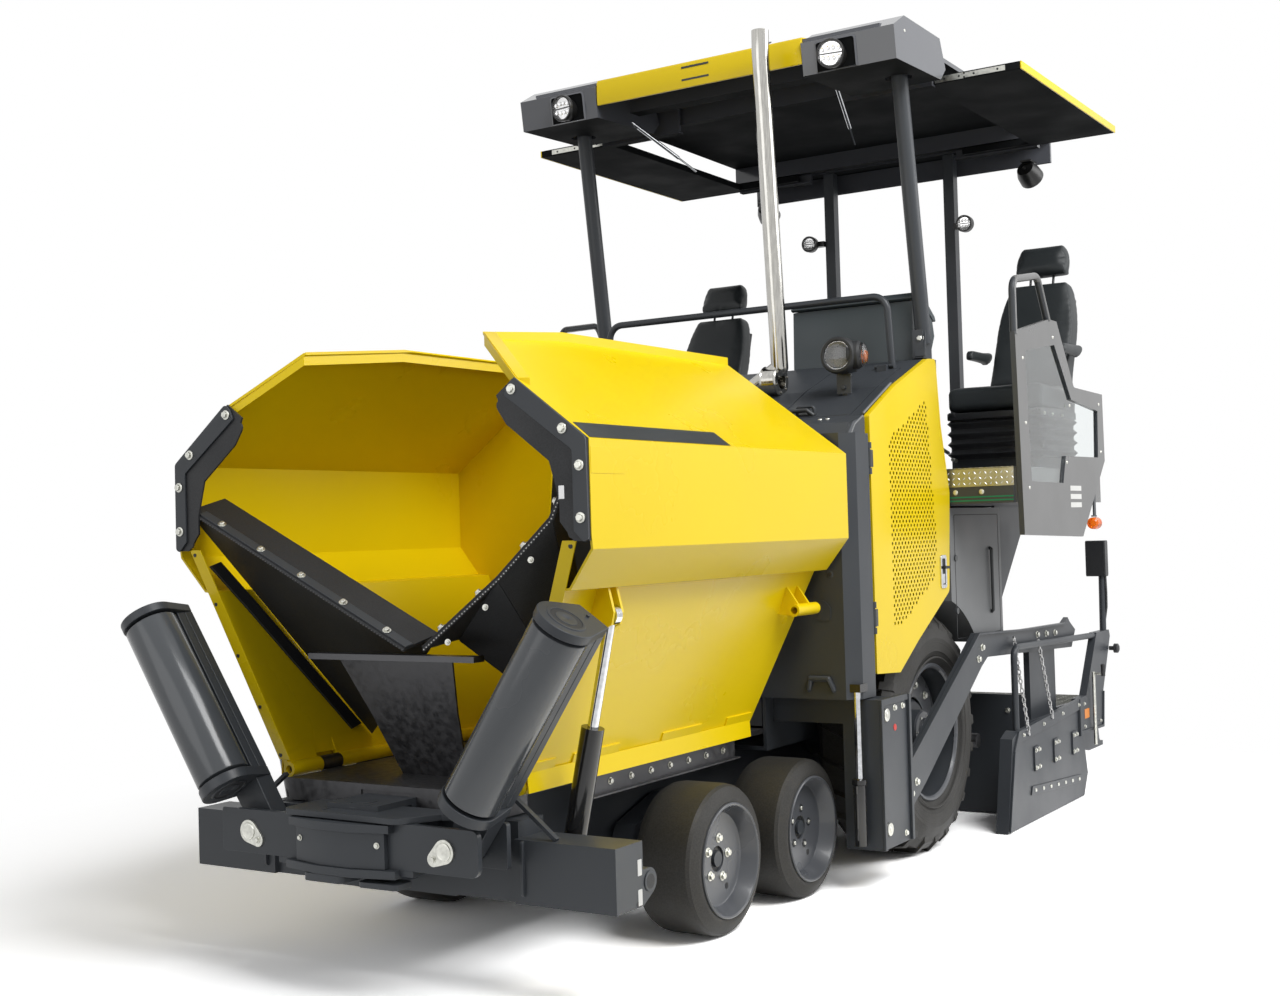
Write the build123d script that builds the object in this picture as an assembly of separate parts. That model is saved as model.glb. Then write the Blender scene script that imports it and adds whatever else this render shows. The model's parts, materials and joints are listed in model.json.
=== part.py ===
from build123d import *
import math
import os

# A small wheeled asphalt paver: hopper with two folding wings in front, tractor with two
# operator stations in the middle, floating screed on tow arms behind.
# Millimetres. X is across (+X is the machine's left), Z is up, the hopper faces -Y.
# Every length along the machine is a station: the distance back from the rollers' front.

# Rear tip of the machine
SCREED_BACK = 4600
STEP_REACH = 795
LENGTH = SCREED_BACK + STEP_REACH

# General clearances
GAP = 10
SLIDE_GAP = 4
PIN_GAP = 0.5
SHEET = 8

# Width of the body, and of what stands beside it
BODY_HALF = 880
HOPPER_HALF = BODY_HALF + 20

# Push rollers and their swinging beam
ROLLER_RADIUS = 95
ROLLER_STATION = ROLLER_RADIUS
ROLLER_LENGTH = 640
ROLLER_START = 195
ROLLER_LEAN = 56
ROLLER_CAP = 30
ROLLER_AXLE = 22
ARM_THICK = 30
ARM_WIDE = 110
ARM_STATION = ROLLER_STATION + ROLLER_RADIUS + 5
BEAM_FRONT = 100
BEAM_PLATE = 20
BEAM_DEPTH = 165
BEAM_HALF = 550
BEAM_Z = (425, 570)
ARM_PIVOT = (421, 498)
ARM_PIN = 24
SWIVEL_STATION = 205
SWIVEL_RADIUS = 45

# Rear wheels
REAR_RADIUS = 535
REAR_WIDE = 362
REAR_OUTER = BODY_HALF - 14
REAR_STATION = 2970
REAR_RIM = 300
LUG_COUNT = 24
LUG_HEIGHT = 22
AXLE_RADIUS = 70
STUB = AXLE_RADIUS + PIN_GAP

# Chassis
CROSS_STATION = (330, 463)
CROSS_Z = (305, 560)
CROSS_HALF = 530
CORNER_FRONT = 312
CORNER_HALF = BODY_HALF + 28
CORNER_TOP = 507
TOW_EYE = (CROSS_STATION[1] + 36, 375)
EYE_ROUND = 42
EYE_HOLE = 22
TUNNEL_HALF = 270
TUNNEL_Z = (300, 565)
TUNNEL_END = 3480
WALL = 15
# The frame and the bed stand this far inside the rear tyres
TYRE_CLEAR = 19
BED_HALF = REAR_OUTER - REAR_WIDE - WALL - TYRE_CLEAR
BED_TOP = 640
BED_THICK = 20
# The apron leans back from the lip to the bed: stations and heights
APRON = ((365, 1060), (563, BED_TOP - 2))
APRON_EDGE = ((250, APRON[0][1]), (195, 872), (145, APRON[1][1]))

# Hopper wings, drawn for the left side
HINGE_X = BED_HALF + 36
HINGE_Z = 660
HINGE_TUBE = 27
HINGE_PIN = 14
WING_FRONT = 245
WING_REAR = 2045
WING_LEAN_BACK = 0.145
WING_FOOT_FRONT = 370
WING_FOOT_REAR = 1845
HINGE_SEGMENTS = ((370, 520), (520, 620), (620, 900), (900, 1180), (1180, 1460), (1460, 1650), (1650, 1845))

# Pin tube under the wing's rear
LOCK = (762, 1140)
LOCK_RADIUS = 24
LOCK_EARS = (1835, 1925)

# Wing cylinder
CYL_STATION = 525
CYL_BASE = (600, 430)
CYL_EYE = (775, 1200)
BARREL_RADIUS = 38
BARREL_LENGTH = 420
ROD_RADIUS = 18
EYE_RADIUS = 30
EYE_WIDE = 32
NECK = 14
LUG = 12
CYL_PIN = 10
# The rod's eye has play on its pin: the cylinder turns and slides in step with the wing,
# and in between the eye leaves the pin's middle by up to this much
EYE_PLAY = 12

# Front wheels, two in a row on each side
FRONT_RADIUS = 272
FRONT_WIDE = 260
FRONT_OUTER = 750
FRONT_STATIONS = (1305, 1965)
FRONT_RIM = 205
KINGPIN_X = 425
KINGPIN_RADIUS = 24
BOGIE_X = (290, 380)

# Tractor body
BULKHEAD = 2085
DOOR_HINGE = 2262
DOOR_THICK = 25
DOOR_X = BODY_HALF + 20
HINGE_HEIGHTS = (1050, 1700)
HOLE_RADIUS = 24
HOLE_PITCH = 62
HOLE_RISE = 54
HOLE_MARGIN = 8
HOLE_FIELD = ((2465, 2990), (1040, 2030))
GRILLE_FRAME = 6
HOOD_REAR = 3095
HOOD_HALF = BODY_HALF - 10
HOOD_TOP = 2202
CABINET = (3140, 3800)
CABINET_Z = (900, 1530)
ARCH_GAP = 62
LID_X = (475, BODY_HALF - 60)
LID_STATION = (2275, 2815)
LID_HINGE = (2815, 2163)
LID_HINGES = (LID_X[0] + 85, LID_X[1] - 80)
HEADLIGHT = (BODY_HALF - 180, 2185)
HEADLIGHT_RADIUS = 72

# Platform and operator stations
DECK = (3165, 4700)
DECK_Z = (1540, 1600)
DECK_TOP = 1690
TRAY_FRONT = 3145
TRAY_REAR = 4410
TRAY_X = (500, 1210)
GUARD_X = (1212, 1236)
SEAT_X = 950
SEAT_HALF = 245
BACK_HALF = 215
ARMREST = 43

# Roof
ROOF = (2510, 4775)
ROOF_HALF = BODY_HALF + 20
ROOF_Z = (3500, 3600)
POST_RADIUS = 36
EXT_X = (ROOF_HALF - 30, ROOF_HALF + 410)
EXT_STATION = (3105, 4555)
EXT_Z = (3455, 3490)
LAMP_X = 700
LAMP_Z = 3478
LAMP_BACK = 2516
LAMP_DEPTH = 61
LAMP_RADIUS = 52

# Exhaust
PIPE_RADIUS = 38
PIPE_X = 420

# Tow point, arms and screed
RAIL_STATION = (2150, 2446)
RAIL_Z = (165, 765)
RAIL_X = (BODY_HALF - 80, BODY_HALF + 80)
TOW_STATION = 2330
TOW_Z = 300
TOW_PIN = 22
ARM_X = (BODY_HALF + 32, BODY_HALF + 56)
GUIDE = (BODY_HALF - 14, 2245)
GUIDE_RADIUS = 16
SCREED_FRONT = 3965
SCREED_HALF = BODY_HALF + 45
END_X = (BODY_HALF + 60, BODY_HALF + 120)
AUGER_STATION = 3705
AUGER_Z = 400
AUGER_RADIUS = 175


def at(station):
    """The Y of a station: the origin is under the middle of the machine."""
    return station - LENGTH / 2


def block(x, s, z):
    """A box between two values across, along and up."""
    centre = Pos((x[0] + x[1]) / 2, at((s[0] + s[1]) / 2), (z[0] + z[1]) / 2)
    return centre * Box(abs(x[1] - x[0]), abs(s[1] - s[0]), abs(z[1] - z[0]))


def across(outline, s):
    """A plate square to the machine's length: an outline of (x, z) between two stations."""
    points = [Vector(x, at(s[0]), z) for x, z in outline]
    return Solid.extrude(Face(Wire.make_polygon(points, close=True)), Vector(0, s[1] - s[0], 0))


def along(outline, x):
    """A plate that faces sideways: an outline of (station, z) between two values of X."""
    points = [Vector(x[0], at(s), z) for s, z in outline]
    return Solid.extrude(Face(Wire.make_polygon(points, close=True)), Vector(x[1] - x[0], 0, 0))


def bar(start, end, radius):
    """A round bar between two points of (x, station, z)."""
    a = Vector(start[0], at(start[1]), start[2])
    b = Vector(end[0], at(end[1]), end[2])
    return Solid.make_cylinder(radius, (b - a).length, Plane(origin=a, z_dir=(b - a).normalized()))


def tube(points, radius, bend, wall=0):
    """A bent round tube through points of (x, station, z), hollow if it has a wall."""
    path = FilletPolyline(*[(x, at(s), z) for x, s, z in points], radius=bend)
    start = Plane(origin=path @ 0, z_dir=path % 0)
    solid = sweep(start * Circle(radius), path=path)
    if wall:
        solid -= sweep(start * Circle(radius - wall), path=path)
    return solid


def sheet(line, thick):
    """The closed outline of a bent sheet: a line of points and its copy, thick to its left."""
    inner = []
    for i, (a, b) in enumerate(line):
        normals = []
        for (p, q) in zip(line[max(i - 1, 0):i + 1], line[max(i - 1, 0) + 1:i + 2]):
            run = math.hypot(q[0] - p[0], q[1] - p[1])
            normals.append((-(q[1] - p[1]) / run, (q[0] - p[0]) / run))
        nx = sum(n[0] for n in normals) / len(normals)
        ny = sum(n[1] for n in normals) / len(normals)
        scale = thick / (nx * nx + ny * ny)
        inner.append((a + nx * scale, b + ny * scale))
    return list(line) + inner[::-1]


def both(shape):
    """A shape on the left with its mirror image on the right."""
    return shape + mirror(shape, about=Plane.YZ)


def fuse(first, *rest):
    """One solid from overlapping shapes."""
    for shape in rest:
        first = first + shape
    return first


# Push rollers: the beam swings on a centre pin, each roller folds up on its own arm


def push_beam():
    half = BEAM_HALF
    back = BEAM_FRONT + BEAM_DEPTH
    front = block((-half, half), (BEAM_FRONT, BEAM_FRONT + BEAM_PLATE), BEAM_Z)
    rear = block((-half, half), (back - BEAM_PLATE, back), BEAM_Z)
    middle = block((-290, 290), (BEAM_FRONT, back), (BEAM_Z[0] - 20, BEAM_Z[1]))
    nose = bar((0, SWIVEL_STATION, BEAM_Z[0] - 20), (0, SWIVEL_STATION, BEAM_Z[1] + 12), 150)
    nose = nose & block((-200, 200), (40, 300), (BEAM_Z[0] - 30, BEAM_Z[1] + 20))
    beam = fuse(front, rear, middle, nose)
    for side in (-1, 1):
        x = side * ARM_PIVOT[0]
        pin = bar((x, BEAM_FRONT - 14, ARM_PIVOT[1]), (x, back, ARM_PIVOT[1]), ARM_PIN)
        keeper = bar((x, BEAM_FRONT - 10, ARM_PIVOT[1]), (x, BEAM_FRONT, ARM_PIVOT[1]), 42)
        beam = fuse(beam, pin, keeper)
    hole = bar((0, SWIVEL_STATION, 0), (0, SWIVEL_STATION, 900), SWIVEL_RADIUS + PIN_GAP)
    return beam - hole


def roller_point(distance, offset=0):
    """A point of the left roller's line: a distance out from the arm's pivot, then to its side."""
    lean = math.radians(ROLLER_LEAN)
    x = ARM_PIVOT[0] + distance * math.cos(lean) - offset * math.sin(lean)
    z = ARM_PIVOT[1] + distance * math.sin(lean) + offset * math.cos(lean)
    return x, z


def push_arm():
    end = ROLLER_START + ROLLER_LENGTH + ROLLER_CAP
    half = ARM_WIDE / 2
    outline = [roller_point(-40, -half), roller_point(end, -half), roller_point(end, half),
               roller_point(-40, half)]
    flat = across(outline, (ARM_STATION, ARM_STATION + ARM_THICK))
    for first in (ROLLER_START - ROLLER_CAP, end - ROLLER_CAP):
        a = roller_point(first, 0)
        b = roller_point(first + ROLLER_CAP, 0)
        disc = bar((a[0], ROLLER_STATION, a[1]), (b[0], ROLLER_STATION, b[1]), ROLLER_RADIUS)
        ends = [roller_point(first, -half), roller_point(first + ROLLER_CAP, -half)]
        ends += [roller_point(first + ROLLER_CAP, half), roller_point(first, half)]
        web = across(ends, (ROLLER_STATION, ARM_STATION + ARM_THICK))
        flat = fuse(flat, disc, web)
    axle_a = roller_point(ROLLER_START, 0)
    axle_b = roller_point(ROLLER_START + ROLLER_LENGTH, 0)
    axle = bar((axle_a[0], ROLLER_STATION, axle_a[1]), (axle_b[0], ROLLER_STATION, axle_b[1]), ROLLER_AXLE)
    eye_s = (ARM_STATION, ARM_STATION + ARM_THICK)
    hole = bar((ARM_PIVOT[0], eye_s[0] - 1, ARM_PIVOT[1]), (ARM_PIVOT[0], eye_s[1] + 1, ARM_PIVOT[1]),
               ARM_PIN + PIN_GAP)
    return fuse(flat, axle) - hole


def push_roller():
    a = roller_point(ROLLER_START + SLIDE_GAP, 0)
    b = roller_point(ROLLER_START + ROLLER_LENGTH - SLIDE_GAP, 0)
    shell = bar((a[0], ROLLER_STATION, a[1]), (b[0], ROLLER_STATION, b[1]), ROLLER_RADIUS - 4)
    return shell - bar((a[0], ROLLER_STATION, a[1]), (b[0], ROLLER_STATION, b[1]), ROLLER_AXLE + PIN_GAP)


# Chassis


def chassis_frame():
    x, s, z = TUNNEL_HALF, CROSS_STATION, CROSS_Z
    tunnel = block((-x, x), (s[0], TUNNEL_END), TUNNEL_Z)
    tunnel -= block((-x + WALL, x - WALL), (s[1], TUNNEL_END + 1), (TUNNEL_Z[0] + WALL, TUNNEL_Z[1] - WALL))
    cross = block((-CROSS_HALF, CROSS_HALF), s, z)
    corner = block((CROSS_HALF - 5, CORNER_HALF), (CORNER_FRONT, s[1]), (z[0], CORNER_TOP))
    hole_s, hole_z = TOW_EYE
    lug_x = (CORNER_HALF - 30, CORNER_HALF)
    eye = along([(s[1] - 2, hole_z - 70), (hole_s + 22, hole_z - EYE_ROUND + 6), (hole_s, hole_z + EYE_ROUND),
                 (s[1] - 2, hole_z + EYE_ROUND)], lug_x)
    eye = fuse(eye, bar((lug_x[0], hole_s, hole_z), (lug_x[1], hole_s, hole_z), EYE_ROUND))
    eye -= bar((lug_x[0] - 10, hole_s, hole_z), (lug_x[1] + 1, hole_s, hole_z), EYE_HOLE)
    low, high = CYL_STATION - EYE_WIDE / 2 - 2 - LUG, CYL_STATION + EYE_WIDE / 2 + 2 + LUG
    foot = block((CYL_BASE[0] - 45, CYL_BASE[0] + 45), (s[1] - 2, high), (CYL_BASE[1] - 75, CYL_BASE[1] - 45))
    for edge in (low, high - LUG):
        foot = foot + block((CYL_BASE[0] - 30, CYL_BASE[0] + 30), (edge, edge + LUG),
                            (CYL_BASE[1] - 50, CYL_BASE[1] + 30))
    foot = foot + bar((CYL_BASE[0], low, CYL_BASE[1]), (CYL_BASE[0], high, CYL_BASE[1]), CYL_PIN)
    frame = fuse(tunnel, cross, both(fuse(corner, eye, foot)))
    boss = bar((0, SWIVEL_STATION, TUNNEL_Z[0] + 40), (0, SWIVEL_STATION, BEAM_Z[1] + 40), SWIVEL_RADIUS)
    tongue = block((-110, 110), (SWIVEL_STATION - 60, s[0] + 5), (BEAM_Z[1] + 18, BEAM_Z[1] + 38))
    tongue = tongue + block((-110, 110), (s[0] - 20, s[0] + 5), (CROSS_Z[1] - 20, BEAM_Z[1] + 38))
    lower = block((-110, 110), (SWIVEL_STATION - 60, s[0] + 5), (TUNNEL_Z[0] + 45, BEAM_Z[0] - 26))
    frame = fuse(frame, boss, tongue, lower)
    final = bar((x - 5, REAR_STATION, REAR_RADIUS), (REAR_OUTER - REAR_WIDE + 60, REAR_STATION,
                                                     REAR_RADIUS), 130)
    stub = bar((x, REAR_STATION, REAR_RADIUS), (REAR_OUTER - 130, REAR_STATION, REAR_RADIUS), AXLE_RADIUS)
    side = along([(BULKHEAD, 560), (TUNNEL_END, 560), (TUNNEL_END, 1000), (CABINET[1] - 20, 1200),
                  (CABINET[1] - 20, CABINET_Z[1]), (HOOD_REAR, CABINET_Z[1]), (HOOD_REAR, 1100), (BULKHEAD,
                                                                                                  900)],
                 (BED_HALF, BED_HALF + WALL))
    shelf = block((x - 5, BED_HALF + WALL), (BULKHEAD, TUNNEL_END), (TUNNEL_Z[1] - WALL, TUNNEL_Z[1]))
    return fuse(frame, both(fuse(final, stub, side, shelf)))


def hopper_base():
    bed = block((-BED_HALF, BED_HALF), (CROSS_STATION[0], BULKHEAD), (BED_TOP - BED_THICK, BED_TOP))
    web = block((TUNNEL_HALF - 60, TUNNEL_HALF - 40), (CROSS_STATION[1], BULKHEAD),
                (TUNNEL_Z[1], BED_TOP - BED_THICK))
    front = block((-BED_HALF, BED_HALF), CROSS_STATION, (CROSS_Z[1] + 5, BED_TOP - BED_THICK + 1))
    front = front - block((-130, 130), (0, CROSS_STATION[0] + 6), (0, 900))
    base = fuse(bed, both(web), front)
    for s0, s1 in HINGE_SEGMENTS[1::2]:
        knuckle = bar((HINGE_X, s0 + 1, HINGE_Z), (HINGE_X, s1 - 1, HINGE_Z), HINGE_TUBE)
        ledge = block((BED_HALF - 5, HINGE_X), (s0 + 1, s1 - 1), (HINGE_Z - HINGE_TUBE, BED_TOP))
        base = base + both(knuckle + ledge)
    pin = bar((HINGE_X, HINGE_SEGMENTS[0][0] + 20, HINGE_Z), (HINGE_X, HINGE_SEGMENTS[-1][1], HINGE_Z),
              HINGE_PIN)
    base = base + both(pin)
    top, foot = APRON
    apron = slope(APRON_EDGE, top, foot)
    lip = block((-365, 365), (top[0] - 30, top[0] + 25), (top[1] - 5, top[1] + 15))
    return fuse(base, apron, lip)


def slope(edge, top, foot):
    """A sheet that leans from a top to a foot of (station, z): an edge of (x, z) and its mirror image."""
    lean = (foot[0] - top[0]) / (foot[1] - top[1])
    left = [Vector(x, at(top[0] + lean * (z - top[1])), z) for x, z in edge]
    corners = left + [Vector(-v.X, v.Y, v.Z) for v in reversed(left)]
    return Solid.extrude(Face(Wire.make_polygon(corners, close=True)), Vector(0, SHEET, 0))


# Hopper wings

# Rubber flaps: lines of (x, z) drawn for the left side; the right one reaches past the middle
FLAP_STATION = 249
FLAP_WIDTH = (-33, 132, 40)
FLAP_INNER = (10, 175, 22)
FLAP_FOOT = (518, 824, 735)
FLAP_SEAM = 6
FLAP_LINES = {
    "left": ((800, 1600), (752, 1506), (542, 1325), (231, 1102)),
    "right": ((840, 1581), (-150, 1100)),
}

WING_LINE = ((HINGE_X + 24, HINGE_Z + 34), (745, 1285), (800, 1290), (HOPPER_HALF, 1414),
             (HOPPER_HALF, 1748), (340, 2170))


def wing_panel():
    """The whole folded sheet, cut to the slanting front and rear edges."""
    skin = across(sheet(WING_LINE, SHEET), (WING_FRONT, WING_REAR))
    skin -= along([(WING_FRONT - 5, 0), (WING_FOOT_FRONT, 0), (WING_FOOT_FRONT, 640), (WING_FRONT, 1458),
                   (WING_FRONT - 5, 1458)],
                  (0, 1000))
    skin -= along([(WING_REAR + 5, 0), (WING_FOOT_REAR, 0), (WING_FOOT_REAR, 640), (WING_REAR, 1290),
                   (WING_REAR + 5, 1290)],
                  (0, 1000))
    corner = [(200, WING_FRONT - 5), (640, WING_FRONT - 5), (395, WING_FRONT + 145),
              (335, WING_FRONT + 650), (200, WING_FRONT + 650)]
    points = [Vector(x, at(s), 1700) for x, s in corner]
    skin -= Solid.extrude(Face(Wire.make_polygon(points, close=True)), Vector(0, 0, 600))
    return skin


def wing():
    body = wing_panel()
    end_outline = sheet(WING_LINE, SHEET)[:6] + [(430, 1250)]
    end = across(end_outline, (WING_REAR - 210, WING_REAR - 210 + SHEET))
    body = fuse(body, end & block((0, HOPPER_HALF), (0, LENGTH), (BED_TOP + 60, 2160)))
    for s0, s1 in HINGE_SEGMENTS[0::2]:
        body = body + bar((HINGE_X, s0 + 1, HINGE_Z), (HINGE_X, s1 - 1, HINGE_Z), HINGE_TUBE)
        body = body + across([(HINGE_X, HINGE_Z + 10), (HINGE_X + 20, HINGE_Z), (HINGE_X + 45, HINGE_Z + 75),
                              (HINGE_X + 30, HINGE_Z + 80)], (s0 + 1, s1 - 1))
    body = body - bar((HINGE_X, 0, HINGE_Z), (HINGE_X, LENGTH, HINGE_Z), HINGE_PIN + PIN_GAP)
    low, high = CYL_STATION - EYE_WIDE / 2 - 2 - LUG, CYL_STATION + EYE_WIDE / 2 + 2 + LUG
    x, z = CYL_EYE
    for edge in (low, high - LUG):
        ear = across([(x - 90, z - 80), (x + 20, z - 30), (x + 30, z + 10), (x + 10, z + 90),
                      (x - 45, z + 90)],
                     (edge, edge + LUG))
        body = body + ear
    return fuse(body, wing_lock(), bar((x, low, z), (x, high, z), CYL_PIN))


def wing_lock():
    """Two ears under the wing's rear that hold a tube for the transport pin."""
    x, z = LOCK
    ears = [across([(700, z + 90), (728, z + 90), (x + 12, z + LOCK_RADIUS), (x, z - LOCK_RADIUS),
                    (678, z - 14)], (s, s + LUG))
            for s in LOCK_EARS]
    tube_end = (LOCK_EARS[0] - 12, LOCK_EARS[1] + 82)
    shell = fuse(bar((x, tube_end[0], z), (x, tube_end[1], z), LOCK_RADIUS), *ears)
    return shell - bar((x, tube_end[0] - 1, z), (x, tube_end[1] + 1, z), LOCK_RADIUS - 9)


def wing_edge(line, side=1):
    """The bolted black plate on a wing's front edge, and the rubber flap that hangs behind it."""
    outline = [(630, 1951), (897, 1750), (897, 1440), (840, 1440), (790, 1500), (790, 1660), (600, 1805),
               (560, 1900)]
    middle = WING_FRONT - SHEET / 2
    plate = across([(side * x, z) for x, z in outline], (WING_FRONT - SHEET, WING_FRONT))
    x, z = line[0]
    root = bar((side * (x + 20), middle, z), (side * x, FLAP_STATION, z), FLAP_SEAM)
    return fuse(plate, root, *wing_flap(line, side))


def leaf(corners):
    """A flat piece of rubber through points of (x, station, z), thickened towards the front."""
    points = [Vector(x, at(s), z) for x, s, z in corners]
    normal = (points[1] - points[0]).cross(points[2] - points[0]).normalized()
    if normal.Y > 0:
        normal = normal * -1
    return Solid.extrude(Face(Wire.make_polygon(points, close=True)), normal * SHEET)


def wing_flap(line, side):
    """A rubber flap across the hopper's mouth: a strip along a line of (x, z), a sheet down to the bed."""
    front = [(side * x, FLAP_STATION, z) for x, z in line]
    dx, ds, dz = FLAP_WIDTH
    back = [(x + side * dx, s + ds, z + dz) for x, s, z in front]
    foot = (side * FLAP_FOOT[0], FLAP_FOOT[1], FLAP_FOOT[2])
    apex, tip = front[-2:]
    inner = (tip[0] + side * FLAP_INNER[0], tip[1] + FLAP_INNER[1], tip[2] + FLAP_INNER[2])
    leaves = [leaf([apex, tip, inner]), leaf([foot, apex, inner])]
    seams = [(apex, inner)]
    for i, (a, b) in enumerate(zip(front, front[1:])):
        leaves.append(leaf([a, b, back[i + 1], back[i]]))
        seams.append((a, b))
        if b is not tip:
            leaves.append(leaf([foot, a, b]))
            seams += [(b, back[i + 1]), (foot, b)]
    return leaves + [bar(a, b, FLAP_SEAM) for a, b in seams]


def on_cylinder(distance):
    """A point of the cylinder's line, a distance out from its foot."""
    run = math.dist(CYL_BASE, CYL_EYE)
    x = CYL_BASE[0] + (CYL_EYE[0] - CYL_BASE[0]) * distance / run
    z = CYL_BASE[1] + (CYL_EYE[1] - CYL_BASE[1]) * distance / run
    return x, CYL_STATION, z


def eye(centre, radius, hole):
    """A round eye across the cylinder, and the hole for its pin."""
    x, z = centre
    half = EYE_WIDE / 2
    ring = bar((x, CYL_STATION - half, z), (x, CYL_STATION + half, z), radius)
    return ring, bar((x, CYL_STATION - 2 * half, z), (x, CYL_STATION + 2 * half, z), hole)


def wing_barrel():
    ring, hole = eye(CYL_BASE, EYE_RADIUS, CYL_PIN + PIN_GAP)
    neck = bar(on_cylinder(0), on_cylinder(EYE_RADIUS + 25), NECK)
    shell = bar(on_cylinder(EYE_RADIUS + 18), on_cylinder(BARREL_LENGTH), BARREL_RADIUS)
    bore = bar(on_cylinder(150), on_cylinder(BARREL_LENGTH + 80), ROD_RADIUS + PIN_GAP)
    return fuse(shell, ring, neck) - bore - hole


def wing_rod():
    ring, hole = eye(CYL_EYE, CYL_PIN + 2 * EYE_PLAY, CYL_PIN + EYE_PLAY)
    length = math.dist(CYL_BASE, CYL_EYE)
    rod = bar(on_cylinder(350), on_cylinder(length - CYL_PIN - EYE_PLAY - 3), ROD_RADIUS)
    return rod + ring - hole


# Front wheels


def bogie_beams():
    first, last = FRONT_STATIONS
    x0, x1 = BOGIE_X
    z = FRONT_RADIUS
    beam = along([(first - 90, z + 60), (first - 60, z + 110), (first + 200, z + 190),
                  (last - 200, z + 190), (last + 60, z + 110),
                  (last + 90, z + 60), (last + 60, z - 30), (last - 200, z + 40), (first + 200,
                                                                                   z + 40), (first - 60,
                                                                                             z - 30)],
                 (x0, x1))
    for s in FRONT_STATIONS:
        for z0, z1 in ((z - 75, z - 45), (z + 75, z + 105)):
            yoke = block((x0, KINGPIN_X + 35), (s - 35, s + 35), (z0, z1))
            beam = beam + yoke
        beam = beam + bar((KINGPIN_X, s, z - 75), (KINGPIN_X, s, z + 120), KINGPIN_RADIUS)
    middle = (first + last) / 2
    beam = beam + bar((TUNNEL_HALF, middle, z + 120), (x0 + 5, middle, z + 120), 45)
    return both(beam)


def knuckle(s):
    z = FRONT_RADIUS
    body = block((KINGPIN_X - 35, KINGPIN_X + 35), (s - 35, s + 35), (z - 45 + 1, z + 75 - 1))
    body = body + bar((KINGPIN_X, s, z), (FRONT_OUTER - 60, s, z), 28)
    body = body + bar((KINGPIN_X + 30, s, z), (KINGPIN_X + 60, s, z), 40)
    return body - bar((KINGPIN_X, s, 0), (KINGPIN_X, s, 600), KINGPIN_RADIUS + PIN_GAP)


def turned(profile, x, s, z):
    """A ring turned about an axle along X: a profile of (x outward, radius)."""
    points = [Vector(x + px, at(s), z + r) for px, r in profile]
    face = Face(Wire.make_polygon(points, close=True))
    return Solid.revolve(face, 360, Axis((x, at(s), z), (1, 0, 0)))


def front_wheel(s):
    r, w = FRONT_RADIUS, FRONT_WIDE
    inner = FRONT_OUTER - w
    tyre = turned([(0, FRONT_RIM), (0, r - 35), (35, r), (w - 45, r), (w - 12, r - 22), (w, r - 60),
                   (w, FRONT_RIM)], inner, s, r)
    rim = turned([(15, FRONT_RIM - 12), (15, FRONT_RIM), (w - 10, FRONT_RIM), (w - 10, FRONT_RIM - 12),
                  (w - 50, FRONT_RIM - 22),
                  (w - 62, 60), (w - 62, 34), (w - 78, 34), (w - 78, 60), (w - 66,
                                                                           FRONT_RIM - 34)], inner, s, r)
    hub = turned([(70, 29), (70, 55), (w - 70, 55), (w - 70, 29)], inner, s, r)
    return [tyre, rim + hub]


# Rear wheels


def rear_tyre():
    """A carcass with chevron lugs: each lug is a wedge that runs from the shoulder to the middle."""
    w = REAR_WIDE
    inner = REAR_OUTER - w
    tread = REAR_RADIUS - LUG_HEIGHT
    tyre = turned([(30, REAR_RIM), (0, REAR_RIM + 60), (0, tread - 96), (22, tread - 31), (52, tread),
                   (w - 52, tread),
                   (w - 22, tread - 31), (w, tread - 96), (w, REAR_RIM + 60), (w - 30, REAR_RIM)],
                  inner, REAR_STATION, REAR_RADIUS)
    lugs = []
    for side, first in ((-1, 0), (1, 0.5)):
        edge = side * (w / 2 - 14)
        for number in range(LUG_COUNT):
            turn = 360 * (number + first) / LUG_COUNT
            lugs.append(Location((inner + w / 2, at(REAR_STATION), REAR_RADIUS), (turn, 0, 0)) * lug(edge,
                                                                                                     tread))
    return tyre + Compound(lugs).solids()


def lug(edge, tread):
    """One lug at the top of the wheel, from the middle of the tread to an edge, set back as it goes."""
    low, high = tread - 12, REAR_RADIUS
    corners = []
    for x, lean in ((-8 if edge > 0 else 8, 0), (edge * 0.72, 52), (edge, 62)):
        drop = 0 if abs(x) < abs(edge) * 0.8 else 46
        corners.append((x, lean, drop))
    width = 17
    faces = []
    for x, lean, drop in corners:
        half = width + abs(x) * 0.03
        top = math.sqrt((high - drop) ** 2 - (abs(lean) + half) ** 2)
        points = [(x, lean - half, low - drop), (x, lean + half, low - drop), (x, lean + half - 4, top),
                  (x, lean - half + 4, top)]
        faces.append(Face(Wire.make_polygon([Vector(*p) for p in points], close=True)))
    return Solid.make_loft([face.outer_wire() for face in faces], True)


def rear_rim():
    w = REAR_WIDE
    inner = REAR_OUTER - w
    hoop = turned([(28, REAR_RIM - 14), (28, REAR_RIM), (w - 28, REAR_RIM), (w - 28, REAR_RIM - 14)], inner,
                  REAR_STATION, REAR_RADIUS)
    disc = turned([(w - 150, STUB), (w - 150, REAR_RIM - 8), (w - 136, REAR_RIM - 8), (w - 136, 150),
                   (w - 110, 130), (w - 110, STUB)],
                  inner, REAR_STATION, REAR_RADIUS)
    hub = bar((inner + w - 125, REAR_STATION, REAR_RADIUS), (inner + w - 70, REAR_STATION, REAR_RADIUS), 95)
    hub -= bar((inner, REAR_STATION, REAR_RADIUS), (REAR_OUTER - 120, REAR_STATION, REAR_RADIUS), 75)
    return fuse(hoop, disc, hub)


# Tractor body


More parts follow.
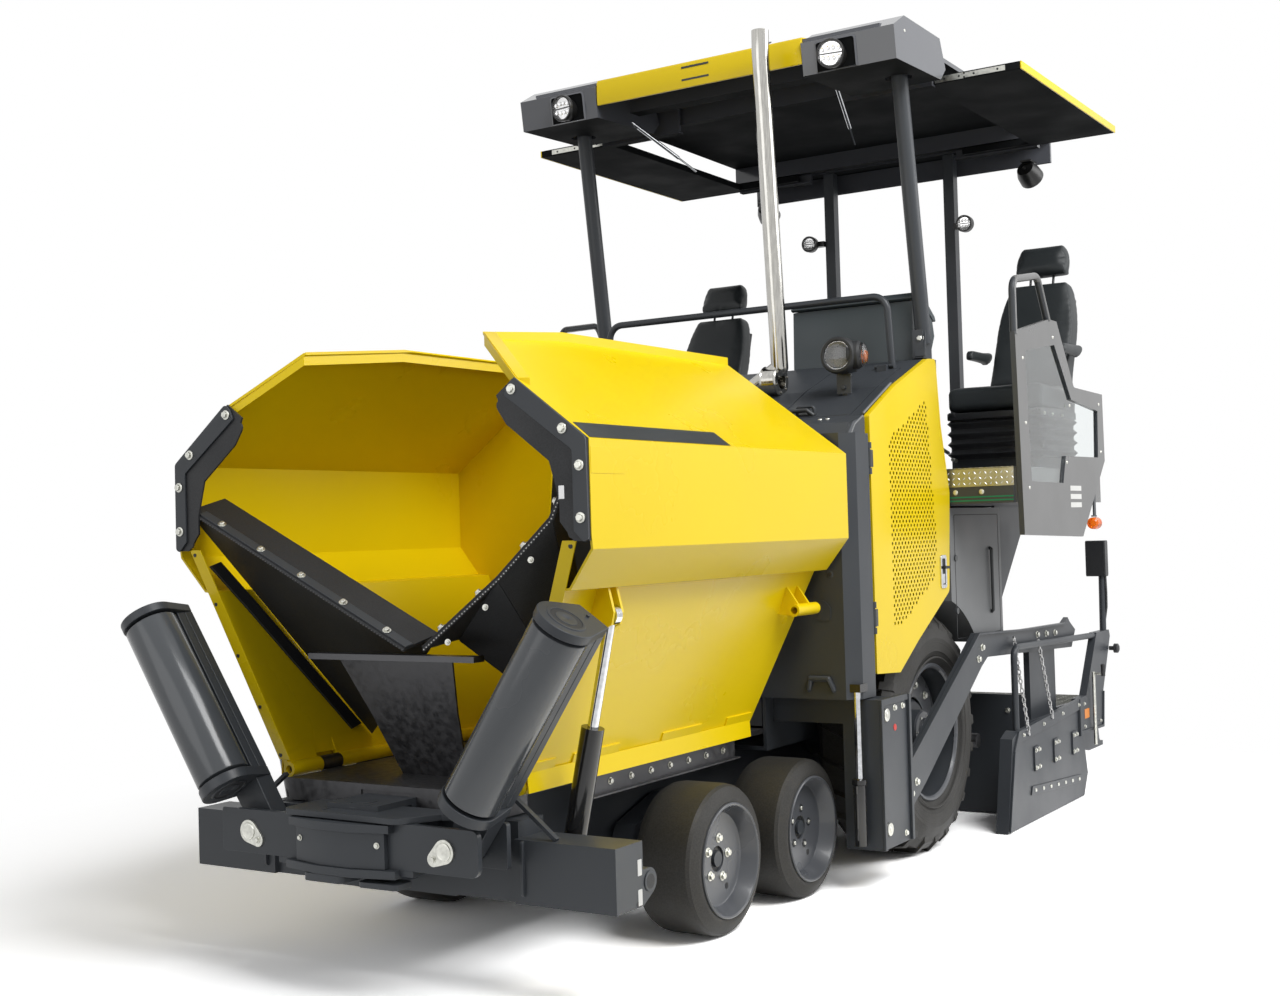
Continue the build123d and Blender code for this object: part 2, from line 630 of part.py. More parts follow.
def hood_line():
    """The hood's side line, from the bulkhead up over the engine to the platform."""
    return [(BULKHEAD + 20, 1780), (BULKHEAD + 20, 1835), (BULKHEAD + 65, 1880), (2262, 1912), (2553, 2052),
            (2924, 2192),
            (3006, HOOD_TOP), (HOOD_REAR, HOOD_TOP)]


def hood():
    line = hood_line()
    rim = list(reversed(line))
    skin = along(sheet(rim, 12), (-HOOD_HALF, HOOD_HALF))
    back = block((-HOOD_HALF, HOOD_HALF), (HOOD_REAR - 12, HOOD_REAR), (DECK_Z[0], HOOD_TOP))
    skin = skin + back - both(block((HOOD_HALF - 35, HOOD_HALF + 1), (BULKHEAD, BULKHEAD + 62), (1700, 1836)))
    skin -= block(LID_X, LID_STATION, (1600, 2600))
    for x in LID_HINGES:
        pin = bar((x - 45, LID_HINGE[0], LID_HINGE[1]), (x + 45, LID_HINGE[0], LID_HINGE[1]), 5)
        for low in (x - 45, x + 25):
            pin = pin + bar((low, LID_HINGE[0], LID_HINGE[1]), (low + 20, LID_HINGE[0], LID_HINGE[1]), 10)
            pin = pin + block((low, low + 20), (LID_HINGE[0], LID_HINGE[0] + 30),
                              (LID_HINGE[1] - 14, LID_HINGE[1] + 4))
        skin = skin + pin
    return skin


def hood_volume():
    outline = hood_line() + [(HOOD_REAR, 1200), (BULKHEAD + 20, 1200)]
    return along(outline, (-BODY_HALF, BODY_HALF))


def hood_lid():
    line = list(reversed(hood_line()))
    skin = along(sheet(line, 12), (-BODY_HALF, BODY_HALF))
    inside = block((LID_X[0] + 5, LID_X[1] - 5), (LID_STATION[0] + 5, LID_STATION[1] - 5), (1600, 2600))
    lid = skin & inside
    for x in LID_HINGES:
        lid = lid + bar((x - 22, LID_HINGE[0], LID_HINGE[1]), (x + 22, LID_HINGE[0], LID_HINGE[1]), 10)
        lid = lid + block((x - 22, x + 22), (LID_HINGE[0] - 35, LID_HINGE[0]),
                          (LID_HINGE[1] - 26, LID_HINGE[1] + 2))
    lid -= bar((400, LID_HINGE[0], LID_HINGE[1]), (900, LID_HINGE[0], LID_HINGE[1]), 5 + PIN_GAP)
    x, z = HEADLIGHT
    lamp_foot = block((x - 10, x + 10), (2480, 2530), (z - 195, z - 55)) - hood_volume()
    handle = tube([(560, 2310, 1900), (560, 2300, 1965), (640, 2300, 1965), (640, 2310, 1900)], 7,
                  12) - hood_volume()
    lamp = bar((x, 2420, z), (x, 2520, z), HEADLIGHT_RADIUS)
    return fuse(lid, lamp_foot, lamp, handle)


def bulkhead():
    """The tractor's front wall, with rounded corners that run back to the doors."""
    line = [(BODY_HALF + 12, DOOR_HINGE - 16), (BODY_HALF + 12, BULKHEAD + 45), (BODY_HALF - 30, BULKHEAD),
            (-BODY_HALF + 30, BULKHEAD),
            (-BODY_HALF - 12, BULKHEAD + 45), (-BODY_HALF - 12, DOOR_HINGE - 16)]
    outline = sheet(line, 14)
    points = [Vector(x, at(s), 770) for x, s in outline]
    wall = Solid.extrude(Face(Wire.make_polygon(points, close=True)), Vector(0, 0, 1835 - 770))
    wall -= block((-BED_HALF - WALL, BED_HALF + WALL), (BULKHEAD - 1, BULKHEAD + 20), (700, 905))
    wall += block((-BED_HALF + 5, BED_HALF - 5), (BULKHEAD, BULKHEAD + 14), (BED_TOP + 10, 910))
    for z in HINGE_HEIGHTS:
        pin = bar((DOOR_X, DOOR_HINGE, z - 30), (DOOR_X, DOOR_HINGE, z + 100), 6)
        for low in (z - 30, z + 75):
            pin = pin + bar((DOOR_X, DOOR_HINGE, low), (DOOR_X, DOOR_HINGE, low + 25), 12)
            pin = pin + block((DOOR_X - 22, DOOR_X), (DOOR_HINGE - 30, DOOR_HINGE), (low, low + 25))
        wall = wall + both(pin)
    return wall


def engine_block():
    block_top = block((-380, 380), (2330, 3020), (690, 1420))
    return fuse(block_top, block((-240, 240), (2400, 2500), (TUNNEL_Z[1], 700)),
                block((-240, 240), (2850, 2950), (TUNNEL_Z[1], 700)))


def cabinet():
    s, z = CABINET, CABINET_Z
    outer = block((BED_HALF + WALL, BODY_HALF + 10), s, z)
    inner = block((BED_HALF + WALL + 8, BODY_HALF + 2), (s[0] + 8, s[1] - 8), (z[0] + 8, z[1] - 8))
    arch_r = REAR_RADIUS + ARCH_GAP
    outer -= bar((0, REAR_STATION, REAR_RADIUS), (1000, REAR_STATION, REAR_RADIUS), arch_r)
    inner -= bar((0, REAR_STATION, REAR_RADIUS), (1000, REAR_STATION, REAR_RADIUS), arch_r + 8)
    return both(outer - inner)


def deck():
    s, z = DECK, DECK_Z
    half = BODY_HALF + 10
    lower = block((-half, half), s, z) - block((-half + 60, half - 60), (s[0] + 60, s[1] - 60),
                                               (z[0] - 1, z[1] + 1))
    top = block((-half, half), s, (DECK_TOP - 8, DECK_TOP))
    plate = fuse(lower, top)
    for x in (-half, -half + 300, -40, half - 380, half - 80):
        plate = plate + block((x, x + 80), (s[0] + 5, s[0] + 25), (z[0], DECK_TOP - 4))
        plate = plate + block((x, x + 80), (s[1] - 25, s[1]), (z[0], DECK_TOP - 4))
    floor = block((-BODY_HALF, BODY_HALF), (HOOD_REAR, s[0] - 50), (DECK_Z[0] - 2, DECK_Z[0] + 4))
    strut = along([(CABINET[1] - 10, 1080), (CABINET[1] + 60, 1080), (CABINET[1] + 520, z[0]),
                   (CABINET[1] - 10, z[0])],
                  (BODY_HALF - 30, BODY_HALF - 15))
    strut -= block((0, 1000), (0, CABINET[1]), (0, 2000))
    return plate + both(strut)


# Operator stations


def station():
    """A sliding tray with its guard panel and the seat's base, on the left."""
    top = block(TRAY_X, (TRAY_FRONT, TRAY_REAR), (DECK_TOP + 6, DECK_TOP + 14))
    front = block(TRAY_X, (TRAY_FRONT, TRAY_FRONT + 8), (DECK_Z[0] + 5, DECK_TOP + 14))
    side = block((TRAY_X[1] - 8, TRAY_X[1]), (TRAY_FRONT, TRAY_REAR), (DECK_Z[0] + 5, DECK_TOP + 14))
    frame = fuse(top, front, side)
    for s in (3300, 4200):
        frame = frame + block((TRAY_X[0] - 100, TRAY_X[1]), (s, s + 40), (DECK_Z[1] + PIN_GAP, DECK_TOP - 14))
        frame = frame + block((TRAY_X[1] - 12, TRAY_X[1]), (s, s + 40), (DECK_Z[1] + PIN_GAP, DECK_TOP + 10))
    outline = [(3112, 2300), (3156, 1400), (4009, 1377), (4415, 1756), (4406, 2094), (3941, 2102),
               (3705, 2400), (3590, 2400)]
    window = [(3240, 2225), (3274, 1640), (3727, 1635), (3778, 1765), (4300, 1770), (4316, 2005),
              (3890, 2040), (3658, 2285)]
    panel = along(outline, GUARD_X) - along(window, (GUARD_X[0] - 1, GUARD_X[1] + 1))
    for s in (3300, 4250):
        panel = panel + block((TRAY_X[1] - 4, GUARD_X[0] + 4), (s, s + 80), (1600, DECK_TOP + 10))
    x = (GUARD_X[0] + GUARD_X[1]) / 2
    hoop = tube([(x, 3130, 2290), (x, 3130, 2534), (x, 3470, 2590), (x, 3600, 2395)], 17, 60)
    foot = DECK_TOP + 14
    pedestal = block((SEAT_X - 200, SEAT_X + 200), (3640, 4080), (foot - 2, foot + 60))
    bellows = block((SEAT_X - 225, SEAT_X + 225), (3620, 4100), (foot + 60, 1990))
    return fuse(frame, panel, hoop, pedestal, bellows)


def seat():
    x0, x1 = SEAT_X - SEAT_HALF, SEAT_X + SEAT_HALF
    cushion = block((x0, x1), (3580, 4130), (1990, 2110))
    back = along([(4080, 2110), (4200, 2110), (4420, 2640), (4320, 2650)],
                 (SEAT_X - BACK_HALF, SEAT_X + BACK_HALF))
    headrest = along([(4320, 2650), (4420, 2640), (4490, 2880), (4400, 2885)], (SEAT_X - 140, SEAT_X + 140))
    arms = []
    for a, b in ((SEAT_X - BACK_HALF - ARMREST, SEAT_X - BACK_HALF),
                 (SEAT_X + BACK_HALF, SEAT_X + BACK_HALF + ARMREST)):
        arms.append(along([(3900, 2275), (4170, 2265), (4240, 2300), (4240, 2340), (3930, 2325)], (a, b)))
    return [cushion, back, headrest] + arms


def console():
    body = along([(3000, HOOD_TOP), (HOOD_REAR, HOOD_TOP), (HOOD_REAR, 2100), (3120, 2100), (3260, 2330),
                  (3240, 2400), (3100, 2490),
                  (3010, 2470)], (200, 800))
    return body


def handrail():
    return tube([(-753, 2880, 2100), (-740, 2861, 2483), (740, 2861, 2483), (753, 2880, 2100)], 16,
                70) - hood_volume()


def exhaust():
    path = [(120, 2545, 1990), (120, 2545, 2110), (PIPE_X, 2545, 2110), (PIPE_X, 2400, 3587)]
    pipe = tube(path, PIPE_RADIUS, 58, 4)
    return pipe - hood_volume()


def roof_posts():
    x = BODY_HALF - 30
    front = bar((x, 3010, 2270), (x - 5, 2830, ROOF_Z[0]), POST_RADIUS)
    front = front - block((0, 1200), (2000, 4000), (0, HOOD_TOP + GAP)) - block((0, 1200), (2000, 4000),
                                                                                (ROOF_Z[0], 4000))
    bracket = block((x - 35, x + 15), (2960, 3060), (HOOD_TOP, 2330))
    rear = block((334, 394), (4625, 4685), (DECK_TOP, ROOF_Z[0]))
    return both(front + bracket) + both(rear)


def roof_shell():
    line = [(ROOF[0], ROOF_Z[0] - 20), (ROOF[0], 3585), (ROOF[0] + 190, 3610), (4600, 3600),
            (ROOF[1], 3520), (ROOF[1], 3400)]
    skin = along(sheet(list(reversed(line)), 20), (-ROOF_HALF, ROOF_HALF))
    pod = along([(2505, 3420), (2485, 3560), (2600, 3625), (3000, 3625), (3060, 3500), (3000, 3440)],
                (540, 975))
    ribs = block((-ROOF_HALF, ROOF_HALF), (2790, 2870), (3500, 3590)) + block((-500, 500), (4615, 4695),
                                                                              (3500, 3548))
    shell = fuse(skin, both(pod), ribs)
    for s in (EXT_STATION[0] + 20, EXT_STATION[1] - 60):
        shell = shell + block((-ROOF_HALF, ROOF_HALF), (s, s + 40), (EXT_Z[1] + SLIDE_GAP, 3590))
    for wall, lip in (((EXT_STATION[0] - 25, EXT_STATION[0] - 5), (EXT_STATION[0] - 25, EXT_STATION[0] + 15)),
                      ((EXT_STATION[1] + 5, EXT_STATION[1] + 25),
                       (EXT_STATION[1] - 15, EXT_STATION[1] + 25))):
        channel = block((440, ROOF_HALF), wall, (EXT_Z[0] - 10, 3590))
        channel = channel + block((440, ROOF_HALF), lip, (EXT_Z[0] - 10, EXT_Z[0] - PIN_GAP))
        shell = shell + both(channel)
    post = BODY_HALF - 35
    shell -= both(bar((post, 2830, ROOF_Z[0] - 100), (post, 2830, ROOF_Z[0]), POST_RADIUS + 24))
    return shell - both(bar((LAMP_X, 2400, LAMP_Z), (LAMP_X, LAMP_BACK, LAMP_Z), LAMP_RADIUS))


def roof_extension():
    plate = block(EXT_X, EXT_STATION, EXT_Z)
    for s in (EXT_STATION[0] + 20, EXT_STATION[1] - 60):
        plate = plate + block((500, EXT_X[0] + 10), (s, s + 40), EXT_Z)
    return plate


def lamps():
    shapes = []
    for side in (-1, 1):
        shapes.append(bar((side * LAMP_X, LAMP_BACK - LAMP_DEPTH, LAMP_Z), (side * LAMP_X, LAMP_BACK, LAMP_Z),
                          LAMP_RADIUS - PIN_GAP))
        shapes.append(bar((side * 470, 4570, 3095), (side * 470, 4600, 3095),
                          45) + block((side * 394, side * 475), (4600, 4640), (3080, 3110)))
    x, z = HEADLIGHT
    foot = block((-x - 10, -x + 10), (2480, 2530), (z - 195, z - 55)) - hood_volume()
    far = bar((-x, 2420, z), (-x, 2520, z), HEADLIGHT_RADIUS) + foot
    shapes.append(far)
    return shapes


# Doors


def grille_holes(outline):
    """Prisms for the hexagonal holes that fit inside an outline, in staggered rows."""
    prism = Solid.extrude(Face(Wire.make_polygon(hexagon(HOLE_RADIUS), close=True)), Vector(30, 0, 0))
    (s0, s1), (z0, z1) = HOLE_FIELD
    holes = []
    for row in range((z1 - z0) // HOLE_RISE):
        z = z0 + row * HOLE_RISE
        for column in range((s1 - s0) // HOLE_PITCH):
            s = s0 + (column + 0.5 * (row % 2)) * HOLE_PITCH
            if all(room_inside(a, b, s, z) for a, b in zip(outline, outline[1:] + outline[:1])):
                holes.append(Pos(BODY_HALF, at(s), z) * prism)
    return holes


def hexagon(radius):
    return [Vector(0, radius * math.sin(math.radians(60 * k)), radius * math.cos(math.radians(60 * k)))
            for k in range(6)]


def room_inside(a, b, s, z):
    """Whether a hole at (s, z) stays inside the edge from a to b of an outline that turns left."""
    run = math.dist(a, b)
    inside = ((b[0] - a[0]) * (z - a[1]) - (b[1] - a[1]) * (s - a[0])) / run
    return inside > HOLE_RADIUS + HOLE_MARGIN


def door():
    outline = [(DOOR_HINGE + 16, 856), (2514, 842), (2721, 962), (3091, 1155), (3131, 1602), (3050, 1903),
               (3012, HOOD_TOP - 4),
               (2924, 2192), (2553, 2050), (DOOR_HINGE + 16, 1912)]
    panel = along(outline, (DOOR_X - DOOR_THICK, DOOR_X))
    grille = [(2902, 2030), (2451, 1828), (2444, 1028), (2548, 1021), (2936, 1211), (2979, 1365)]
    panel -= along(grille, (DOOR_X - GRILLE_FRAME, DOOR_X + 1))
    panel -= along(grille, (DOOR_X - DOOR_THICK - 1, DOOR_X - 2 * GRILLE_FRAME))
    panel -= grille_holes(grille)
    for z in HINGE_HEIGHTS:
        panel = panel + bar((DOOR_X, DOOR_HINGE, z), (DOOR_X, DOOR_HINGE, z + 70), 12)
        panel = panel + block((DOOR_X - 10, DOOR_X + 2), (DOOR_HINGE, DOOR_HINGE + 30), (z, z + 70))
    return panel - bar((DOOR_X, DOOR_HINGE, 700), (DOOR_X, DOOR_HINGE, 2000), 6 + PIN_GAP)


# Tow point and screed


def tow_rails():
    front = block(RAIL_X, (RAIL_STATION[0], RAIL_STATION[0] + 45), RAIL_Z)
    cover = block((RAIL_X[1] - 14, RAIL_X[1]), RAIL_STATION, RAIL_Z)
    base = block((RAIL_X[0], RAIL_X[0] + 18), (RAIL_STATION[0], 2400), RAIL_Z)
    hang = block((BED_HALF + WALL, RAIL_X[0] + 5), (RAIL_STATION[0], RAIL_STATION[0] + 60),
                 (RAIL_Z[1] - 100, RAIL_Z[1]))
    guide = bar((GUIDE[0], GUIDE[1], RAIL_Z[0]), (GUIDE[0], GUIDE[1], RAIL_Z[1]), GUIDE_RADIUS)
    ends = block((RAIL_X[0], RAIL_X[1]), (RAIL_STATION[0], 2290), (RAIL_Z[0], RAIL_Z[0] + 20))
    ends = ends + block((RAIL_X[0], RAIL_X[1]), (RAIL_STATION[0], 2290), (RAIL_Z[1] - 20, RAIL_Z[1]))
    return both(fuse(front, cover, base, hang, guide, ends))


def tow_carriage():
    body = block((RAIL_X[0] + 22, ARM_X[0] - 3), (RAIL_STATION[0] + 52, TOW_STATION + 55), (235, 520))
    pin = bar((RAIL_X[0] + 40, TOW_STATION, TOW_Z), (ARM_X[1] + 4, TOW_STATION, TOW_Z), TOW_PIN)
    hole = bar((GUIDE[0], GUIDE[1], 0), (GUIDE[0], GUIDE[1], 900), GUIDE_RADIUS + PIN_GAP)
    return both(body - hole + pin)


def tow_arms():
    outline = [(TOW_STATION - 45, 250), (TOW_STATION + 60, 215), (2660, 360), (3372, 794), (3450, 830),
               (4720, 780), (4790, 869), (4700, 916),
               (4668, 942), (4600, 916), (3960, 925), (3307, 950), (2430, 440), (TOW_STATION - 20, 350)]
    plate = along(outline, ARM_X)
    hole = bar((ARM_X[0] - 1, TOW_STATION, TOW_Z), (ARM_X[1] + 1, TOW_STATION, TOW_Z), TOW_PIN + PIN_GAP)
    return both(plate - hole)


def screed_body():
    half = SCREED_HALF
    s0, s1 = SCREED_FRONT, SCREED_BACK
    plough = block((-half, half), (s0, s1), (6, 60))
    front = block((-half, half), (s0, s0 + 20), (6, 600))
    back = block((-half, half), (s1 - 20, s1), (6, 470))
    lid = block((-half, half), (s0, s1), (440, 460))
    mount = block((ARM_X[0] - 30, ARM_X[0]), (4100, 4500), (440, 860))
    return fuse(plough, front, back, lid, both(mount))


def screed_ends():
    gate = along([(3471, 4), (4649, 4), (4721, 114), (4606, 516), (3643, 461), (3569, 432)],
                 (END_X[1] - 14, END_X[1]))
    front = along([(3471, 4), (3569, 432), (3643, 461), (3660, 461), (3590, 432), (3495, 4)], END_X)
    box = along([(4606, 330), (5026, 321), (5050, 515), (5210, 806), (5195, 841), (4960, 841), (4740, 520),
                 (4606, 516)], (END_X[1] - 40, END_X[1]))
    link = block((SCREED_HALF, END_X[1] - 10), (4000, 4560), (20, 450))
    x = END_X[1] - 20
    hoop = tube([(x, 3683, 450), (x, 3683, 856), (x, 4950, 826)], 16, 50)
    pole = bar((x, 5150, 800), (x, 5165, 1180), 18)
    panel = block((x - 70, x + 20), (5140, 5185), (1150, 1330))
    return both(fuse(gate, front, box, link, hoop, pole, panel))


def screed_steps():
    half = SCREED_HALF - 40
    upper = block((-half, half), (SCREED_BACK + 60, LENGTH - 120), (440, 455))
    lower = block((-half, half), (LENGTH - 260, LENGTH), (180, 195))
    shapes = upper + lower
    for x in (-half, -10, half - 20):
        shapes = shapes + along([(SCREED_BACK, 300), (SCREED_BACK, 470), (LENGTH - 120, 455),
                                 (LENGTH - 120, 440), (LENGTH - 60, 195),
                                 (LENGTH, 195), (LENGTH, 170), (LENGTH - 260, 170)], (x, x + 20))
    return shapes


def auger():
    shaft = bar((-780, AUGER_STATION, AUGER_Z), (780, AUGER_STATION, AUGER_Z), 35)
    pitch = 250
    for side in (-1, 1):
        for turn in range(3):
            x = side * (120 + pitch * turn)
            disc = Pos(x, at(AUGER_STATION), AUGER_Z) * Rot(0, 90 - side * 24, 0) * Cylinder(AUGER_RADIUS, 12)
            shaft = shaft + disc
    return shaft


def auger_frame():
    hanger = block((-30, 30), (TUNNEL_END - 5, AUGER_STATION - 45), (520, 600))
    drop = block((-30, 30), (AUGER_STATION - 60, AUGER_STATION + 45), (AUGER_Z, 600))
    drop = drop + block((-30, 30), (AUGER_STATION - 60, AUGER_STATION - 45), (520, 600))
    ring = bar((-30, AUGER_STATION, AUGER_Z), (30, AUGER_STATION, AUGER_Z), 60)
    hole = bar((-40, AUGER_STATION, AUGER_Z), (40, AUGER_STATION, AUGER_Z), 35 + PIN_GAP)
    return fuse(hanger, drop, ring) - hole


def flip(shape):
    return mirror(shape, about=Plane.YZ)


def sided(name, shape, pieces):
    """A left piece and its mirror image on the right."""
    pieces[name + "_left"] = shape
    if isinstance(shape, list):
        pieces[name + "_right"] = [flip(one) for one in shape]
    else:
        pieces[name + "_right"] = flip(shape)


def everything():
    pieces = {
        "push_beam": push_beam(),
        "chassis_frame": chassis_frame() + auger_frame(),
        "hopper_base": hopper_base(),
        "bogie_beams": bogie_beams(),
        "hood": hood(),
        "hood_lid": hood_lid(),
        "bulkhead": bulkhead(),
        "engine_block": engine_block(),
        "cabinet": cabinet(),
        "deck": deck(),
        "console": console(),
        "handrail": handrail(),
        "exhaust": exhaust(),
        "roof_posts": roof_posts(),
        "roof_shell": roof_shell(),
        "work_lamps": lamps(),
        "tow_rails": tow_rails(),
        "tow_carriage": tow_carriage(),
        "tow_arms": tow_arms(),
        "screed_body": screed_body(),
        "screed_ends": screed_ends(),
        "screed_steps": screed_steps(),
        "auger": auger(),
    }
    for name, make in (("push_arm", push_arm), ("push_roller", push_roller), ("wing", wing),
                       ("wing_barrel", wing_barrel), ("wing_rod", wing_rod), ("rear_tyre", rear_tyre),
                       ("rear_rim", rear_rim), ("door", door), ("station", station), ("seat", seat),
                       ("roof_extension", roof_extension)):
        sided(name, make(), pieces)
    pieces["wing_edge_left"] = wing_edge(FLAP_LINES["left"])
    pieces["wing_edge_right"] = wing_edge(FLAP_LINES["right"], -1)
    for number, s in enumerate(FRONT_STATIONS, 1):
        sided(f"knuckle_{number}", knuckle(s), pieces)
        sided(f"front_wheel_{number}", front_wheel(s), pieces)
    return pieces


os.makedirs("parts", exist_ok=True)
for node, shape in everything().items():
    if isinstance(shape, list):
        shape = Compound(children=[Compound(one.solids()) for one in shape])
    export_step(shape, f"parts/{node}.step")
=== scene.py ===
"""The looks of a small wheeled asphalt paver, built round its CAD model.

Sizes are in millimetres, as on the machine: X across to its left, a station back from the push rollers'
front, Z up. mm() turns such a point into the frame's metres. What is built for both sides has the left one's
sizes, and the right one is its mirror image.
"""
import json
import math

import bmesh
import bpy
from mathutils import Matrix, Vector
from mathutils.geometry import tessellate_polygon


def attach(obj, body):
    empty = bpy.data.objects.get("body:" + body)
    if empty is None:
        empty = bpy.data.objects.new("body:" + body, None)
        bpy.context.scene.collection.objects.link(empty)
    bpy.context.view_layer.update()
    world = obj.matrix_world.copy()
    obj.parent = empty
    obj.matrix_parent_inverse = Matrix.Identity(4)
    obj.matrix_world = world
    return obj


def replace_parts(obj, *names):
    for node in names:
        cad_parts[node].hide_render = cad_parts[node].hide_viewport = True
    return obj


LENGTH = 5395
SIDES = (("left", 1), ("right", -1))

# The camera, solved from the photograph
CAMERA_AT = (3.57756, -6.37655, 1.46257)
CAMERA_YAW = 32.5221
CAMERA_PITCH = 1.2192
CAMERA_ROLL = -1.65487
CAMERA_LENS = 44.56
SENSOR = 36


def mm(x, s, z):
    """A point in the frame: across, back from the rollers' front, up."""
    return Vector((x, s - LENGTH / 2, z)) / 1000


def both_sides(*builders):
    """Runs each builder for the left and the right."""
    for build in builders:
        for name, side in SIDES:
            build(name, side)


# Materials


class Paint:
    """A node material: a Principled shader, and what is wired to it."""

    def __init__(self, name, color, roughness=0.5, metallic=0.0, **more):
        self.material = bpy.data.materials.new(name)
        self.material.use_nodes = True
        self.tree = self.material.node_tree
        self.shader = self.tree.nodes["Principled BSDF"]
        self.shader.inputs["Base Color"].default_value = (*color, 1)
        self.shader.inputs["Roughness"].default_value = roughness
        self.shader.inputs["Metallic"].default_value = metallic
        for socket, value in more.items():
            self.shader.inputs[socket.replace("_", " ")].default_value = value
        self.color = color
        self.place = self.node("ShaderNodeTexCoord").outputs["Object"]

    def node(self, kind, **settings):
        """A new shader node with its settings."""
        made = self.tree.nodes.new(kind)
        for key, value in settings.items():
            setattr(made, key, value)
        return made

    def wire(self, a, b):
        """Links an output to an input."""
        self.tree.links.new(a, b)

    def noise(self, scale, detail=3, stretch=(1, 1, 1)):
        """A noise from 0 to 1 over the object, finer with scale, drawn out along an axis by stretch."""
        mapping = self.node("ShaderNodeMapping")
        mapping.inputs["Scale"].default_value = stretch
        self.wire(self.place, mapping.inputs["Vector"])
        noise = self.node("ShaderNodeTexNoise")
        noise.inputs["Scale"].default_value = scale
        noise.inputs["Detail"].default_value = detail
        self.wire(mapping.outputs["Vector"], noise.inputs["Vector"])
        return noise.outputs["Fac"]

    def spread(self, source, low, high, start=0.35, end=0.65):
        """Maps a noise's middle range to low..high."""
        ramp = self.node("ShaderNodeMapRange")
        for socket, value in zip(("From Min", "From Max", "To Min", "To Max"), (start, end, low, high)):
            ramp.inputs[socket].default_value = value
        self.wire(source, ramp.inputs["Value"])
        return ramp.outputs["Result"]

    def tint(self, source, dark, light):
        """Colours the surface between two shades of its colour by a source from 0 to 1."""
        mix = self.node("ShaderNodeMix", data_type="RGBA")
        mix.inputs["A"].default_value = (*[c * dark for c in self.color], 1)
        mix.inputs["B"].default_value = (*[min(1, c * light) for c in self.color], 1)
        self.wire(source, mix.inputs["Factor"])
        self.wire(mix.outputs["Result"], self.shader.inputs["Base Color"])
        return self

    def gloss(self, source, low, high):
        """Varies the roughness from low to high."""
        self.wire(self.spread(source, low, high), self.shader.inputs["Roughness"])
        return self

    def bump(self, source, height, strength=1.0):
        """A relief of that height in millimetres."""
        bump = self.node("ShaderNodeBump")
        bump.inputs["Distance"].default_value = height / 1000
        bump.inputs["Strength"].default_value = strength
        self.wire(source, bump.inputs["Height"])
        self.wire(bump.outputs["Normal"], self.shader.inputs["Normal"])
        return self


def sheet_paint(name, color, low, high, coat=0.0, grain=0.06, even=1.0):
    """Sprayed paint on sheet metal: a fine orange peel, a slightly uneven gloss and shade."""
    paint = Paint(name, color, low, Coat_Weight=coat, Coat_Roughness=0.12, Specular_IOR_Level=0.35)
    paint.gloss(paint.noise(2.5, 4), low, high)
    paint.tint(paint.spread(paint.noise(1.3, 5), 0, 1), 1 - 0.06 * even, 1 + 0.05 * even)
    return paint.bump(paint.noise(900, 2), grain, 0.35)


def metal(name, color, low, high, stretch=(1, 1, 1), scale=60, grain=0.03):
    """Bare metal with brush marks or a cast grain."""
    paint = Paint(name, color, low, 1.0)
    marks = paint.noise(scale, 4, stretch)
    paint.gloss(marks, low, high)
    paint.tint(paint.spread(marks, 0, 1), 0.86, 1.06)
    return paint.bump(marks, grain, 0.4)


def rubber(name, color, low, high, scale=220, grain=0.12):
    """Dull rubber or cover cloth with a mottled skin."""
    paint = Paint(name, color, low, Specular_IOR_Level=0.35)
    skin = paint.noise(scale, 6)
    paint.gloss(paint.noise(3, 4), low, high)
    paint.tint(paint.spread(skin, 0, 1), 0.8, 1.25)
    return paint.bump(skin, grain, 0.5)


def plastic(name, color, low, high, grain=0.05, sheen=0.5):
    """Moulded plastic with a fine grain."""
    paint = Paint(name, color, low, Specular_IOR_Level=sheen)
    paint.gloss(paint.noise(4, 4), low, high)
    paint.tint(paint.spread(paint.noise(2, 4), 0, 1), 0.93, 1.06)
    return paint.bump(paint.noise(1400, 2), grain, 0.4)


def lens(name, color, roughness=0.02, weight=1.0):
    """Clear or tinted glass."""
    glass = Paint(name, color, roughness, Transmission_Weight=weight, IOR=1.45)
    return glass.bump(glass.noise(30, 2), 0.02, 0.1)


